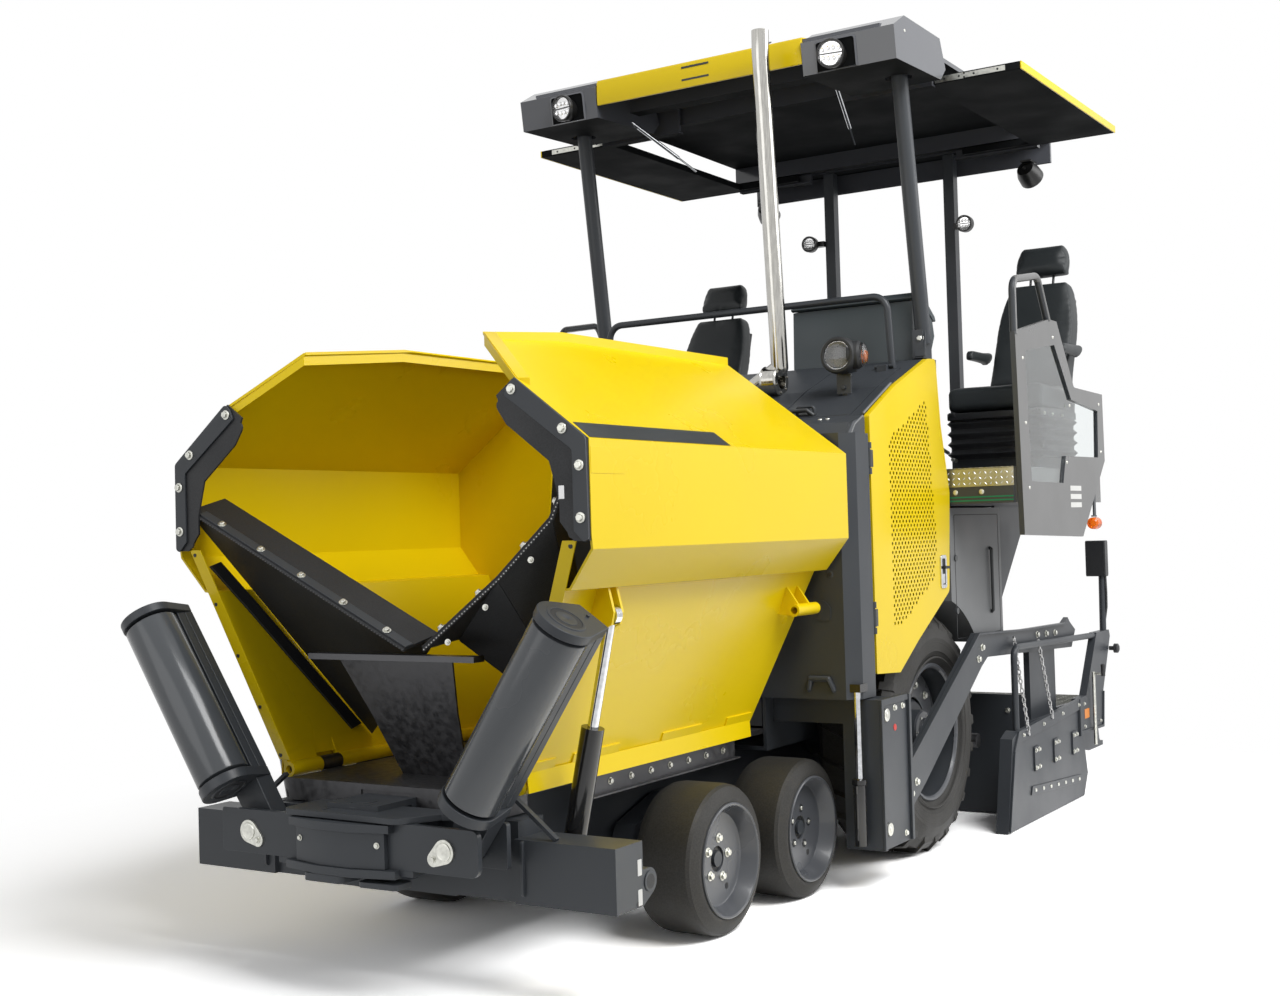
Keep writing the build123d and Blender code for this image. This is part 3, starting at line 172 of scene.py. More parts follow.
def make_materials():
    """Every finish on the machine, by its slot's name."""
    made = {
        "yellow_paint": sheet_paint("yellow_paint", (0.85, 0.62, 0.001), 0.27, 0.32, coat=0.05, even=0.3),
        "grey_paint": sheet_paint("grey_paint", (0.044, 0.049, 0.056), 0.34, 0.46, grain=0.12),
        "roller_paint": sheet_paint("roller_paint", (0.075, 0.082, 0.09), 0.2, 0.3, coat=0.3, grain=0.05),
        "rim_paint": sheet_paint("rim_paint", (0.085, 0.09, 0.1), 0.25, 0.35, coat=0.2, grain=0.05),
        "light_grey_paint": sheet_paint("light_grey_paint", (0.17, 0.175, 0.18), 0.34, 0.46, grain=0.1),
        "pod_paint": sheet_paint("pod_paint", (0.095, 0.1, 0.115), 0.12, 0.2, coat=0.6, grain=0.02),
        "green_paint": sheet_paint("green_paint", (0.0, 0.19, 0.1), 0.3, 0.4, coat=0.2),
        "iron": metal("iron", (0.11, 0.11, 0.115), 0.4, 0.6, scale=40, grain=0.2),
        "steel": metal("steel", (0.5, 0.5, 0.5), 0.25, 0.4),
        "stainless": metal("stainless", (0.5, 0.49, 0.46), 0.1, 0.2, (40, 40, 1), scale=3, grain=0.01),
        "chrome": metal("chrome", (0.62, 0.63, 0.65), 0.05, 0.09, grain=0.002),
        "zinc": metal("zinc", (0.62, 0.62, 0.57), 0.3, 0.45, scale=90),
        "aluminium": metal("aluminium", (0.42, 0.43, 0.45), 0.25, 0.35, scale=12),
        "rubber": rubber("rubber", (0.022, 0.023, 0.025), 0.42, 0.62),
        "tyre": rubber("tyre", (0.026, 0.025, 0.023), 0.5, 0.72, scale=160, grain=0.3),
        "dark_plastic": plastic("dark_plastic", (0.02, 0.021, 0.023), 0.36, 0.5, grain=0.15),
        "dash_plastic": plastic("dash_plastic", (0.045, 0.058, 0.065), 0.4, 0.52, grain=0.2),
        "seat_cover": rubber("seat_cover", (0.022, 0.026, 0.028), 0.4, 0.55, scale=500, grain=0.25),
        "lamp": plastic("lamp", (0.012, 0.012, 0.012), 0.3, 0.42),
        "reflector": metal("reflector", (0.9, 0.9, 0.9), 0.04, 0.1, scale=25, grain=0.05),
        "clear_lens": lens("clear_lens", (1, 1, 1)),
        "glass": lens("glass", (0.86, 0.9, 0.9)),
        "amber_lens": lens("amber_lens", (1.0, 0.22, 0.01), 0.1, 0.6),
        "red_plastic": plastic("red_plastic", (0.6, 0.02, 0.01), 0.3, 0.4),
        "amber_plastic": plastic("amber_plastic", (0.8, 0.25, 0.02), 0.35, 0.45),
        "label": plastic("label", (0.72, 0.72, 0.7), 0.4, 0.5, grain=0.01),
        "black_gloss": sheet_paint("black_gloss", (0.012, 0.012, 0.013), 0.12, 0.2, coat=0.4, grain=0.02),
        "guard_paint": sheet_paint("guard_paint", (0.14, 0.14, 0.14), 0.26, 0.36, coat=0.2, grain=0.04),
        # The roof's dark lining: near-black and with almost no reflection, which also paints the shade under
        # the roof
        "liner": plastic("liner", (0.012, 0.013, 0.014), 0.6, 0.75, grain=0.1, sheen=0.02),
        "black_vinyl": plastic("black_vinyl", (0.03, 0.034, 0.036), 0.3, 0.4, grain=0.01),
    }
    return {name: paint.material for name, paint in made.items()}


# The frame and its finishes

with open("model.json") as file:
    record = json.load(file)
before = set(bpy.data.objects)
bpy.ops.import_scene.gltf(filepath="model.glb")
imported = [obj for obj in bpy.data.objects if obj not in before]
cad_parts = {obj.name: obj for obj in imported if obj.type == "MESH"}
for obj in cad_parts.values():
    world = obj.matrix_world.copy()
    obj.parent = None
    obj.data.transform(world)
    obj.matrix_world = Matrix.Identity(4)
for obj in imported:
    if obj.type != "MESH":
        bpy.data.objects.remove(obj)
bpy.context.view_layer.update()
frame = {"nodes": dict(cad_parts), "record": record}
materials = make_materials()
node_slot = {p["node"]: p["material_slot"] for p in frame["record"]["subparts"]}

# Where a station's guard panel begins, and where its bellows stand over the tray
GUARD_FROM = 1209
BELLOWS = (3600, 4110)
BELLOWS_TO = 1180
TRAY_OVER = 1760


def always(finish):
    """One finish for the whole node."""
    return lambda at, normal: finish


def by_station(at, normal):
    """The guard panel, the bellows and the tray of an operator's station."""
    if abs(at.x) > GUARD_FROM:
        return "grey_paint" if normal.y < -0.5 else "guard_paint"
    if BELLOWS[0] < at.y < BELLOWS[1] and at.z > TRAY_OVER and abs(at.x) < BELLOWS_TO:
        return "rubber"
    return "grey_paint"


def by_roof(at, normal):
    """A dark lining on faces that point down, near-black and almost unreflecting so that it also paints the
    shade under the roof; glossy panels elsewhere.
    """
    return "liner" if normal.z < -0.2 else "pod_paint"


OTHER_FINISH = {
    "roof_shell": by_roof,
    "station_left": by_station,
    "station_right": by_station,
    "exhaust": always("stainless"),
    "console": always("dash_plastic"),
    "wing_barrel_left": always("black_gloss"),
    "wing_barrel_right": always("black_gloss"),
}


def dress_nodes():
    """Gives every CAD node its finish, face by face where it has several."""
    for name, node in frame["nodes"].items():
        mesh = node.data
        choose = OTHER_FINISH.get(name, always(node_slot[name]))
        chosen = [choose(p.center * 1000 + Vector((0, LENGTH / 2, 0)), p.normal) for p in mesh.polygons]
        used = sorted(set(chosen))
        mesh.materials.clear()
        for finish in used:
            mesh.materials.append(materials[finish])
        for polygon, finish in zip(mesh.polygons, chosen):
            polygon.material_index = used.index(finish)


dress_nodes()


# Building solid shapes


def unit(vector):
    """A vector of length 1 in the same direction."""
    return Vector(vector).normalized()


def rounded(outline, radius, steps=4):
    """A flat outline with its corners rounded off, each by a radius or by its own from a list."""
    points = []
    count = len(outline)
    radii = radius if isinstance(radius, (list, tuple)) else [radius] * count
    for i, corner in enumerate(outline):
        before, here, after = Vector(outline[i - 1]), Vector(corner), Vector(outline[(i + 1) % count])
        a, b = (before - here), (after - here)
        turn = a.angle(b)
        cut = min(radii[i] / math.tan(turn / 2), a.length * 0.49, b.length * 0.49) if radii[i] else 0
        if not cut:
            points.append(tuple(here))
            continue
        size = cut * math.tan(turn / 2)
        middle = here + (a.normalized() + b.normalized()).normalized() * (size / math.sin(turn / 2))
        start, end = here + a.normalized() * cut - middle, here + b.normalized() * cut - middle
        sweep = start.angle_signed(end)
        for k in range(steps + 1):
            angle = -sweep * k / steps
            c, s = math.cos(angle), math.sin(angle)
            points.append((middle.x + start.x * c - start.y * s, middle.y + start.x * s + start.y * c))
    return points


def rectangle(a, b, radius=0):
    """The outline of a rectangle from its two ranges, its corners rounded as by rounded()."""
    return rounded([(a[0], b[0]), (a[1], b[0]), (a[1], b[1]), (a[0], b[1])], radius)


def circle(x, y, radius, sides=24, start=0.0, end=2 * math.pi):
    """Points of a circle or, with a start and an end, of an arc with both its ends."""
    whole = end - start >= 2 * math.pi
    count = sides if whole else sides + 1
    angles = [start + (end - start) * k / sides for k in range(count)]
    return [(x + radius * math.cos(a), y + radius * math.sin(a)) for a in angles]


def round_spots(x, y, radius, count, first=0):
    """Spots spread evenly round a circle, from an angle in degrees on."""
    angles = [math.radians(first + 360 * k / count) for k in range(count)]
    return [(x + radius * math.cos(a), y + radius * math.sin(a)) for a in angles]


def bent(points, bend, steps=5):
    """A path through points with its corners rounded to a bend radius."""
    path = [Vector(points[0])]
    for before, here, after in zip(points, points[1:], points[2:]):
        here = Vector(here)
        a, b = Vector(before) - here, Vector(after) - here
        turn = a.angle(b)
        if turn > math.pi - 0.01:
            path.append(here)
            continue
        cut = min(bend / math.tan(turn / 2), a.length * 0.49, b.length * 0.49)
        size = cut * math.tan(turn / 2)
        middle = here + (unit(a) + unit(b)).normalized() * (size / math.sin(turn / 2))
        start, end = here + unit(a) * cut - middle, here + unit(b) * cut - middle
        path += [middle + start.slerp(end, k / steps) for k in range(steps + 1)]
    return path + [Vector(points[-1])]


def turns(count):
    """Angles spread evenly over a full turn."""
    return [2 * math.pi * k / count for k in range(count)]


def hoop(centre, first, second, radius, count):
    """Points round a centre, in the plane of two directions."""
    return [centre + (first * math.cos(a) + second * math.sin(a)) * radius for a in turns(count)]


def spokes(direction, sides):
    """An axis, and the directions round it."""
    axis = unit(direction)
    across = axis.orthogonal().normalized()
    up = axis.cross(across)
    return axis, [across * math.cos(a) + up * math.sin(a) for a in turns(sides)]


# Where an outline's two values and its height go, by the axis that it faces
FACING = {
    "x": lambda a, b, c: (c, a, b),
    "s": lambda a, b, c: (a, c, b),
    "z": lambda a, b, c: (a, b, c),
}


class Form:
    """A mesh built up in millimetres; side -1 mirrors it to the right, place maps another set of axes."""

    def __init__(self, side=1, place=None):
        self.mesh = bmesh.new()
        self.side = side
        self.place = place or (lambda x, s, z: (x, s, z))

    def add(self, points, faces):
        """Adds points and the faces between them."""
        corners = []
        for point in points:
            x, s, z = self.place(*point)
            corners.append(self.mesh.verts.new(mm(self.side * x, s, z)))
        for face in faces:
            self.mesh.faces.new([corners[i] for i in face])
        return self

    def skin(self, rings, capped=True, joined=False):
        """A skin over rings of points; joined closes it on itself."""
        count = len(rings[0])
        points = [p for ring in rings for p in ring]
        faces = []
        for k in range(len(rings) if joined else len(rings) - 1):
            a, b = k * count, (k + 1) % len(rings) * count
            faces += [(a + i, a + (i + 1) % count, b + (i + 1) % count, b + i) for i in range(count)]
        if capped and not joined:
            faces += [tuple(reversed(range(count))), tuple(range(len(points) - count, len(points)))]
        return self.add(points, faces)

    def plate(self, outline, low, high, facing):
        """A flat outline, thick between two values along the axis that it faces: x, s or z."""
        put = FACING[facing]
        return self.skin([[put(a, b, c) for a, b in outline] for c in (low, high)])

    def window(self, outer, inner, low, high, facing):
        """A plate with a window: two outlines of as many points each."""
        put = FACING[facing]
        rings = [(outer, low), (outer, high), (inner, high), (inner, low)]
        return self.skin([[put(a, b, c) for a, b in ring] for ring, c in rings], joined=True)

    def box(self, x, s, z):
        """A block between its three ranges."""
        return self.plate(rectangle(x, s), *z, "z")

    def slab(self, corners, thick):
        """A flat plate through points in space, thick along its normal (less than 0: the other way)."""
        points = [Vector(p) for p in corners]
        normal = (points[1] - points[0]).cross(points[2] - points[0]).normalized() * thick
        return self.skin([points, [p + normal for p in points]])

    def ribbon(self, first, second, thick):
        """A strip between two lines of as many points, thick by a vector."""
        step = Vector(thick)
        return self.skin([[a, b, Vector(b) + step, Vector(a) + step] for a, b in zip(first, second)])

    def turn(self, centre, direction, profile, sides=40):
        """A body turned about a line: a profile of (distance along it, radius), round to a closed ring."""
        axis, outs = spokes(direction, sides)
        rings = [[Vector(centre) + axis * d + out * max(r, 0.05) for d, r in profile] for out in outs]
        return self.skin(rings, joined=True)

    def disc(self, centre, direction, profile, sides=40):
        """A solid turned about a line: its profile of (distance, radius) runs from end to end."""
        axis, outs = spokes(direction, sides)
        return self.skin([[Vector(centre) + axis * d + out * r for out in outs] for d, r in profile])

    def dot(self, centre, direction, radius, thick=0.6, sides=16):
        """A thin round plate, such as a washer, or a dark disc painted as the shade in a hole."""
        return self.disc(centre, direction, [(0, radius), (thick, radius)], sides)

    def rod(self, start, end, radius, sides=24):
        """A round bar between two points."""
        line = Vector(end) - Vector(start)
        return self.disc(start, line, [(0, radius), (line.length, radius)], sides)

    def pipe(self, points, radius, bend, sides=14, wall=0, steps=5):
        """A bent tube, or hollow with a wall."""
        path = bent(points, bend, steps)
        axis = unit(path[1] - path[0])
        across = axis.orthogonal().normalized()
        rings, bores = [], []
        for i, point in enumerate(path):
            ahead = unit(path[min(i + 1, len(path) - 1)] - path[i - 1 if i else 0])
            across = (across - ahead * across.dot(ahead)).normalized()
            up = ahead.cross(across)
            rings.append(hoop(point, across, up, radius, sides))
            bores.append(hoop(point, across, up, radius - wall, sides))
        if not wall:
            return self.skin(rings)
        return self.skin(rings + bores[::-1], joined=True)

    def bolt(self, at, direction, size=10, washer=True):
        """A hex bolt's head with its washer; size is the head's half width."""
        foot = size * 0.22 if washer else 0
        if washer:
            self.dot(at, direction, size * 1.5, foot, 18)
        head = [(foot, size * 1.1), (foot + size * 0.75, size * 1.1), (foot + size * 0.9, size * 0.9)]
        return self.disc(at, direction, head, 6)

    def bolts(self, spots, direction, size=10, washer=True):
        """Bolts at several spots."""
        for spot in spots:
            self.bolt(spot, direction, size, washer)
        return self

    def rivet(self, at, direction, size=7):
        """A domed head; size is its radius."""
        dome = [(0, size), (size * 0.35, size * 0.85), (size * 0.55, size * 0.4)]
        return self.disc(at, direction, dome, 12)


def piece(name, form, body, finish, bevel=1.5, segments=2, smooth=32):
    """The finished object: it rides on a body, and its edges have a small round."""
    mesh = bpy.data.meshes.new(name)
    bmesh.ops.recalc_face_normals(form.mesh, faces=form.mesh.faces)
    form.mesh.to_mesh(mesh)
    form.mesh.free()
    mesh.materials.append(materials[finish])
    made = bpy.data.objects.new(name, mesh)
    bpy.context.scene.collection.objects.link(made)
    mesh.shade_smooth()
    if bevel:
        soften(made, bevel, segments, smooth)
    else:
        mesh.set_sharp_from_angle(angle=math.radians(smooth))
    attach(made, body)
    return made


def soften(thing, width, segments=2, angle=32):
    """Rounds the edges of a thing by a width in millimetres."""
    bevel = thing.modifiers.new("edges", "BEVEL")
    bevel.width = width / 1000
    bevel.segments = segments
    bevel.limit_method = "ANGLE"
    bevel.angle_limit = math.radians(angle)
    bevel.harden_normals = True


# Push rollers on their arms, and the beam that carries them

PIVOT = (421, 498)
ROLLER_LEAN = math.radians(56)
ROLLER_STATION = 95
ROLLER_RADIUS = 91
ROLLER_RUN = (195, 835)
ARM_HALF = 62
ARM_BACK = 240
# The outer faces of a roller's two caps, and the way each one faces
CAP_FACES = ((ROLLER_RUN[1] + 30, 1), (ROLLER_RUN[0] - 35, -1))


def on_roller(a, b, c):
    """Along a roller from its arm's pivot, the station, and to the roller's side."""
    x = PIVOT[0] + a * math.cos(ROLLER_LEAN) - c * math.sin(ROLLER_LEAN)
    return x, b, PIVOT[1] + a * math.sin(ROLLER_LEAN) + c * math.cos(ROLLER_LEAN)


def pear(a, radius_a, b, radius_b, sides=14):
    """The outline round two circles."""
    (ax, ay), (bx, by) = a, b
    heading = math.atan2(by - ay, bx - ax)
    spread = math.acos((radius_a - radius_b) / math.dist(a, b))
    far = circle(bx, by, radius_b, sides, heading - spread, heading + spread)
    near = circle(ax, ay, radius_a, sides, heading + spread, heading - spread + 2 * math.pi)
    return far + near


def roller_cap(form, low, high):
    """An end cap: round in front, with straight flanks that run back to the arm."""
    radius = ROLLER_RADIUS + 4
    back = (ARM_HALF, ARM_BACK - ROLLER_STATION)
    touch = math.atan2(back[1], back[0]) - math.acos(radius / math.hypot(*back))
    arc = circle(0, ROLLER_STATION, radius, 28, math.pi - touch, 2 * math.pi + touch)
    outline = arc + [(ARM_HALF, ARM_BACK), (-ARM_HALF, ARM_BACK)]
    return form.skin([[(a, s, c) for c, s in outline] for a in (low, high)])


def roller_arm(name, side):
    """The arm behind its roller, with an end cap at either end."""
    body = f"push_arm_{name}"
    first, last = ROLLER_RUN
    arm = Form(side, on_roller)
    foot = rounded([(-44, -55), (first, -ARM_HALF), (first, ARM_HALF), (-44, 55)], [40, 0, 0, 40])
    arm.plate(foot, 170, ARM_BACK, "s")
    arm.plate(rectangle(ROLLER_RUN, (-ARM_HALF, ARM_HALF)), 205, ARM_BACK, "s")
    for edge in ((-ARM_HALF, -ARM_HALF + 13), (ARM_HALF - 13, ARM_HALF)):
        arm.plate(rectangle(ROLLER_RUN, edge), 171, 204, "s")
    roller_cap(arm, first - 35, first)
    roller_cap(arm, last, last + 30)
    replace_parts(piece(f"{body}_frame", arm, body, "grey_paint", 3), body)


def roller_bearings(name, side):
    """Wear strips along the arm, the rings and discs on its caps, and dark discs painted as the shade in the
    caps' recesses and holes.
    """
    body = f"push_arm_{name}"
    along = (ROLLER_RUN[0] + 2, ROLLER_RUN[1] - 2)
    strips, dark = Form(side, on_roller), Form(side, on_roller)
    for across in ((-ARM_HALF + 16, -ARM_HALF + 30), (ARM_HALF - 30, ARM_HALF - 16)):
        strips.plate(rectangle(along, across), 182, 204, "s")
    for face, ahead in CAP_FACES:
        centre, line = (face, ROLLER_STATION, 0), (ahead, 0, 0)
        strips.turn(centre, line, [(0, 53), (3, 54), (3, 62), (0, 64)])
        strips.disc(centre, line, [(0, 36), (2.5, 35), (2.5, 12), (1, 9)], 32)
        strips.bolt((face + ahead, ARM_BACK - 35, 0), line, 6, False)
        # Painted shade: a dark disc in the cap's bearing recess, and dark dots in the small holes beside it
        dark.dot(centre, line, 53, 0.8, 32)
        for c in (ARM_HALF, -ARM_HALF):
            dark.dot((face - ahead * 16, ARM_BACK - 60, c), (0, 0, c), 4, 0.6, 12)
    piece(f"{body}_bearings", strips, body, "grey_paint", 1.2)
    piece(f"{body}_recess", dark, body, "rubber", 0)


def roller_tube(name, side):
    """The roller, hollow in its ends, with drawn-in edges."""
    body = f"push_roller_{name}"
    length = ROLLER_RUN[1] - ROLLER_RUN[0]
    edge = [(4, 23), (4, 74), (12, ROLLER_RADIUS - 1), (16, ROLLER_RADIUS)]
    profile = edge + [(length - a, r) for a, r in edge[::-1]]
    tube = Form(side, on_roller)
    tube.turn((ROLLER_RUN[0], ROLLER_STATION, 0), (1, 0, 0), profile, 72)
    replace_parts(piece(f"{body}_tube", tube, body, "roller_paint", 1), body)


BEAM_HALF = 550
BEAM_FRONT, BEAM_BACK = 100, 265
BEAM_Z = (425, 570)
BEAM_TOP = 590


def push_beam():
    """The swinging beam: two faces with ribs between, its nose, skid plates and the swivel's cover."""
    beam = Form()
    across, low = (-BEAM_HALF, BEAM_HALF), BEAM_Z[0]
    beam.plate(rectangle(across, BEAM_Z, [14, 30, 24, 8]), BEAM_FRONT, BEAM_FRONT + 20, "s")
    beam.plate(rectangle(across, BEAM_Z, 10), BEAM_BACK - 20, BEAM_BACK, "s")
    for x in (-290, 270):
        beam.box((x, x + 20), (BEAM_FRONT + 20, BEAM_BACK - 20), BEAM_Z)
    beam.box((-290, 290), (BEAM_FRONT + 1, BEAM_BACK - 1), (low - 20, low))
    for root, shoulder, tip, z in (((190, 100), (190, 82), (64, 54), (low, 538)),
                                   ((215, 108), (215, 74), (72, 42), (540, 566)),
                                   ((235, 108), (235, 78), (78, 44), (398, 424))):
        half = (root, shoulder, tip)
        beam.plate([(-x, s) for x, s in half] + list(reversed(half)), *z, "z")
    beam.plate(rectangle((-130, 40), (46, 150), 20), 372, 397, "z")
    beam.plate(rounded([(90, 60), (250, 66), (250, 150), (90, 150)], 20), 366, 384, "z")
    top = [(-250, 268), (-250, 96), (-225, 76), (236, 70), (256, 84), (330, 196), (400, 215), (400, 268)]
    beam.plate(rounded(top, [6, 26, 12, 22, 14, 12, 6, 6]), 571, BEAM_TOP, "z")
    beam.disc((0, 205, BEAM_TOP), (0, 0, 1), [(0, 62), (8, 62), (12, 56)], 32)
    beam.box((-95, -90), (105, 262), (BEAM_TOP, BEAM_TOP + 2))
    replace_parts(piece("push_beam_frame", beam, "push_beam", "grey_paint", 3), "push_beam")


def beam_fittings():
    """The arms' pivot pins with their keeper plates and bolts."""
    keepers, pins = Form(), Form()
    for _, side in SIDES:
        x, z = side * PIVOT[0], PIVOT[1]
        lobe = (x - side * 42, z - 26)
        keepers.plate(pear((x, z), 38, lobe, 23), BEAM_FRONT - 8, BEAM_FRONT, "s")
        keepers.disc((x, BEAM_FRONT - 8, z), (0, -1, 0), [(0, 29), (3, 28), (4, 24), (2.5, 20)], 32)
        keepers.bolt((lobe[0], BEAM_FRONT - 8, lobe[1]), (0, -1, 0), 8)
        keepers.bolt((side * 165, 75, 500), (side * 0.2, -1, 0), 7)
        keepers.disc((x, BEAM_BACK, z), (0, 1, 0), [(0, 34), (9, 33)], 32)
        pins.rod((x, BEAM_FRONT + 20, z), (x, BEAM_BACK - 20, z), 23.5)
    keepers.bolts([(x, 240, BEAM_TOP) for x in (-150, -60)], (0, 0, 1), 7)
    piece("push_beam_keepers", keepers, "push_beam", "zinc", 1)
    piece("push_beam_pins", pins, "push_beam", "steel", 0.8)


CORNER_FACE = 909
CORNER_EYE = (499, 375)


def chassis_front():
    """Gussets, tow eyes and blank plates on the cross member's outer boxes, and dark discs painted as the
    shade in the eyes and in a hole.
    """
    bars, plates, holes = Form(), Form(), Form()
    for _, side in SIDES:
        ends = ((668, 330, 505), (668, 350, 505), (483, 350, 645), (483, 330, 645))
        bars.slab([(side * x, s, z) for x, s, z in ends], side * 14)
        bars.plate(rectangle((300, 345), (330, 505), 12), side * 556, side * 566, "x")
        bars.disc((side * CORNER_FACE, *CORNER_EYE), (side, 0, 0), [(0, 32), (3, 31)], 28)
        for low in (402, 310):
            plates.plate(rectangle((432, 455), (low, low + 50), 3), side * 908, side * CORNER_FACE, "x")
        # Painted shade: dark discs in the tow eye and in a small hole
        holes.dot((side * 911, *CORNER_EYE), (side, 0, 0), 23, 1.2, 28)
        holes.dot((side * 908, 430, 316), (side, 0, 0), 9)
    piece("corner_gussets", bars, "chassis", "grey_paint", 2)
    piece("corner_plates", plates, "chassis", "label", 0)
    piece("corner_eye_shade", holes, "chassis", "rubber", 0)


both_sides(roller_arm, roller_bearings, roller_tube)
push_beam()
beam_fittings()
chassis_front()


# Front wheels

FRONT_RADIUS = 272
FRONT_STATIONS = (1305, 1965)
TYRE = [(491, 206), (490, 240), (500, 258), (522, 269), (545, 272), (690, 272), (712, 269), (724, 261),
        (727, 252), (741, 226), (743, 216), (741, 206)]
RIM = [(505, 193), (505, 206), (741, 206), (747, 206), (750, 201), (747, 195), (738, 190), (700, 172),
       (690, 168), (686, 160), (686, 46), (674, 46), (674, 170), (560, 184)]
DISC_FACE = 686
FRONT_NUTS = 75


def front_wheel(number, station, name, side):
    """A solid tyre on its pressed rim. The first wheel has nuts, the second one bolts in round holes. Dark
    discs and a dark ring are painted as the shade in the holes and round the hub.
    """
    body = f"front_wheel_{number}_{name}"
    hub, out = (0, station, FRONT_RADIUS), (1, 0, 0)
    tyre, rim, nuts, holes = (Form(side) for _ in range(4))
    tyre.turn(hub, out, TYRE, 96)
    rim.turn(hub, out, RIM, 72)
    rim.turn(hub, out, [(560, 30), (560, 56), (672, 56), (672, 30)], 32)
    rim.disc(hub, out, [(600, 29), (676, 29), (680, 25)], 32)
    for a, b in round_spots(station, FRONT_RADIUS, FRONT_NUTS, 5, 80):
        # Painted shade: dark discs in the second wheel's recessed bolt holes
        if number == 2:
            holes.dot((DISC_FACE, a, b), out, 17, 0.6, 20)
        nuts.bolt((DISC_FACE, a, b), out, 12 if number == 1 else 8, number == 1)
    # Painted shade: a dark disc in the small hole, and a dark ring in the middle hole round the hub
    holes.dot((DISC_FACE, station + 62, FRONT_RADIUS - 108), out, 12)
    holes.turn((674, station, FRONT_RADIUS), out, [(0, 30), (3, 30), (3, 46), (0, 46)], 32)
    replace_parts(piece(f"{body}_tyre", tyre, body, "tyre", 0, smooth=25), body)
    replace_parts(piece(f"{body}_rim", rim, body, "rim_paint", 1.2), body)
    piece(f"{body}_nuts", nuts, body, "zinc", 1)
    piece(f"{body}_holes", holes, body, "rubber", 0)


for wheel_number, wheel_station in enumerate(FRONT_STATIONS, 1):
    for wheel_name, wheel_side in SIDES:
        front_wheel(wheel_number, wheel_station, wheel_name, wheel_side)


# Hopper wings

# How far a flap reaches back, in and up from the mouth's edge, and the line of each side's flaps
FLAP_BACK = (-33, 132, 40)
FLAP_LINE = {1: ((800, 1600), (752, 1506), (542, 1325), (231, 1102)), -1: ((800, 1561), (-150, 1100))}
MOUTH = 249
FLAP_BAR = (8, 13)


def top_height(x):
    """The height of a wing's sloping top sheet."""
    return 1748 + (900 - x) * 0.7536


def mouth(z):
    """The station of a wing's front edge, which slants back to the hinge."""
    return 245 + max(0, 1458 - z) * 0.1528


def panel_x(z):
    """Where the outside of a wing's lower panel stands."""
    return 530 + (z - 694) * 0.3638


def flange_x(z):
    """How far the front flange stands beyond the lower panel, more towards its top."""
    return panel_x(z) + (z - 694) * 0.045


def wing_rims(name, side):
    """The turned-up lip along the top, the bolting flange in front, the foot and a blank plate."""
    body = f"wing_{name}"
    rim = Form(side)
    rings = []
    for x, s, dx, ds in ((636, 249, 30, 24), (402, 387, 30, 24), (345, 850, 38, 4), (341, 2044, 38, 0)):
        top = top_height(x)
        rings.append([(x, s, top - 42), (x, s, top + 3), (x + dx, s + ds, top + 3),
                      (x + dx, s + ds, top_height(x + dx) - 3)])
    rim.skin(rings)
    outer = [(flange_x(z) + 8, mouth(z) - 4, z) for z in (696, 900, 1170, 1442)]
    rim.ribbon(outer, [(x - 52, s, z) for x, s, z in outer], (0, 5, 0))
    rim.ribbon(*[[(x, s, z) for s in (372, 1843)] for x, z in ((537, 706), (541, 641))], (4, 0, 0))
    rim.slab([(900, s, z) for s, z in rectangle((250, 434), (1643, 1724))], 1.2 * side)
    piece(f"{body}_rims", rim, body, "yellow_paint", 2)


def wing_marks(name, side):
    """Dark discs painted as the shade in the flange's holes, the blank stripe along the top sheet and the
    pin's red cap.
    """
    body = f"wing_{name}"
    holes = Form(side)
    # Painted shade: dark discs in the flange's holes
    for z in (1425, 1248, 1064, 882, 712):
        holes.dot((flange_x(z) - 8, mouth(z) - 4.2, z), (0, -1, 0), 8)
    holes.disc((panel_x(1200) + 12, 330, 1204), (0.9, -0.4, 0), [(0, 12), (8, 12), (11, 8)], 6)
    piece(f"{body}_holes", holes, body, "rubber", 0)
    stripe = Form(side)
    up = Vector((0.602, 0, 0.799))
    top = top_height(830)
    line = [(896, 256, 1751), (896, 1120, 1751), (830, 1120, top), (830, 262, top)]
    stripe.skin([[Vector(p) + up * rise for p in line] for rise in (0.8, 1.28)])
    piece(f"{body}_stripe", stripe, body, "black_vinyl", 0)
    cap = Form(side).disc((775, 556, 1200), (0, 1, 0), [(0, 11), (10, 10), (13, 6)], 20)
    piece(f"{body}_pin_cap", cap, body, "red_plastic", 1)


CLAMP = [(612, 1932), (634, 1952), (897, 1752), (899, 1444), (882, 1436), (846, 1470), (846, 1716),
         (596, 1897)]
CORNER = [(612, 1936), (892, 1744), (892, 1448), (822, 1448), (744, 1724), (598, 1804), (554, 1868)]
CLAMP_FACE = 228


def edge_plate(name, side):
    """The grey strip that clamps the rubber corner to a wing's front, with its four bolts."""
    body = f"wing_{name}"
    strip = Form(side).plate(rounded(CLAMP, [8, 16, 20, 14, 8, 6, 14, 8]), CLAMP_FACE, 236.5, "s")
    piece(f"{body}_clamp", strip, body, "grey_paint", 2)
    corner = Form(side).plate(rounded(CORNER, [6, 8, 8, 16, 70, 30, 22]), 236.6, 244.5, "s")
    piece(f"{body}_corner_rubber", corner, body, "rubber", 2)
    bolts = Form(side)
    for x, z in ((627, 1914), (815, 1782), (874, 1668), (874, 1510)):
        bolts.disc((x, CLAMP_FACE, z), (0, -1, 0), [(0, 17), (4, 17), (5, 15)], 24)
        bolts.bolt((x, CLAMP_FACE - 5, z), (0, -1, 0), 11, False)
    piece(f"{body}_clamp_bolts", bolts, body, "zinc", 1)


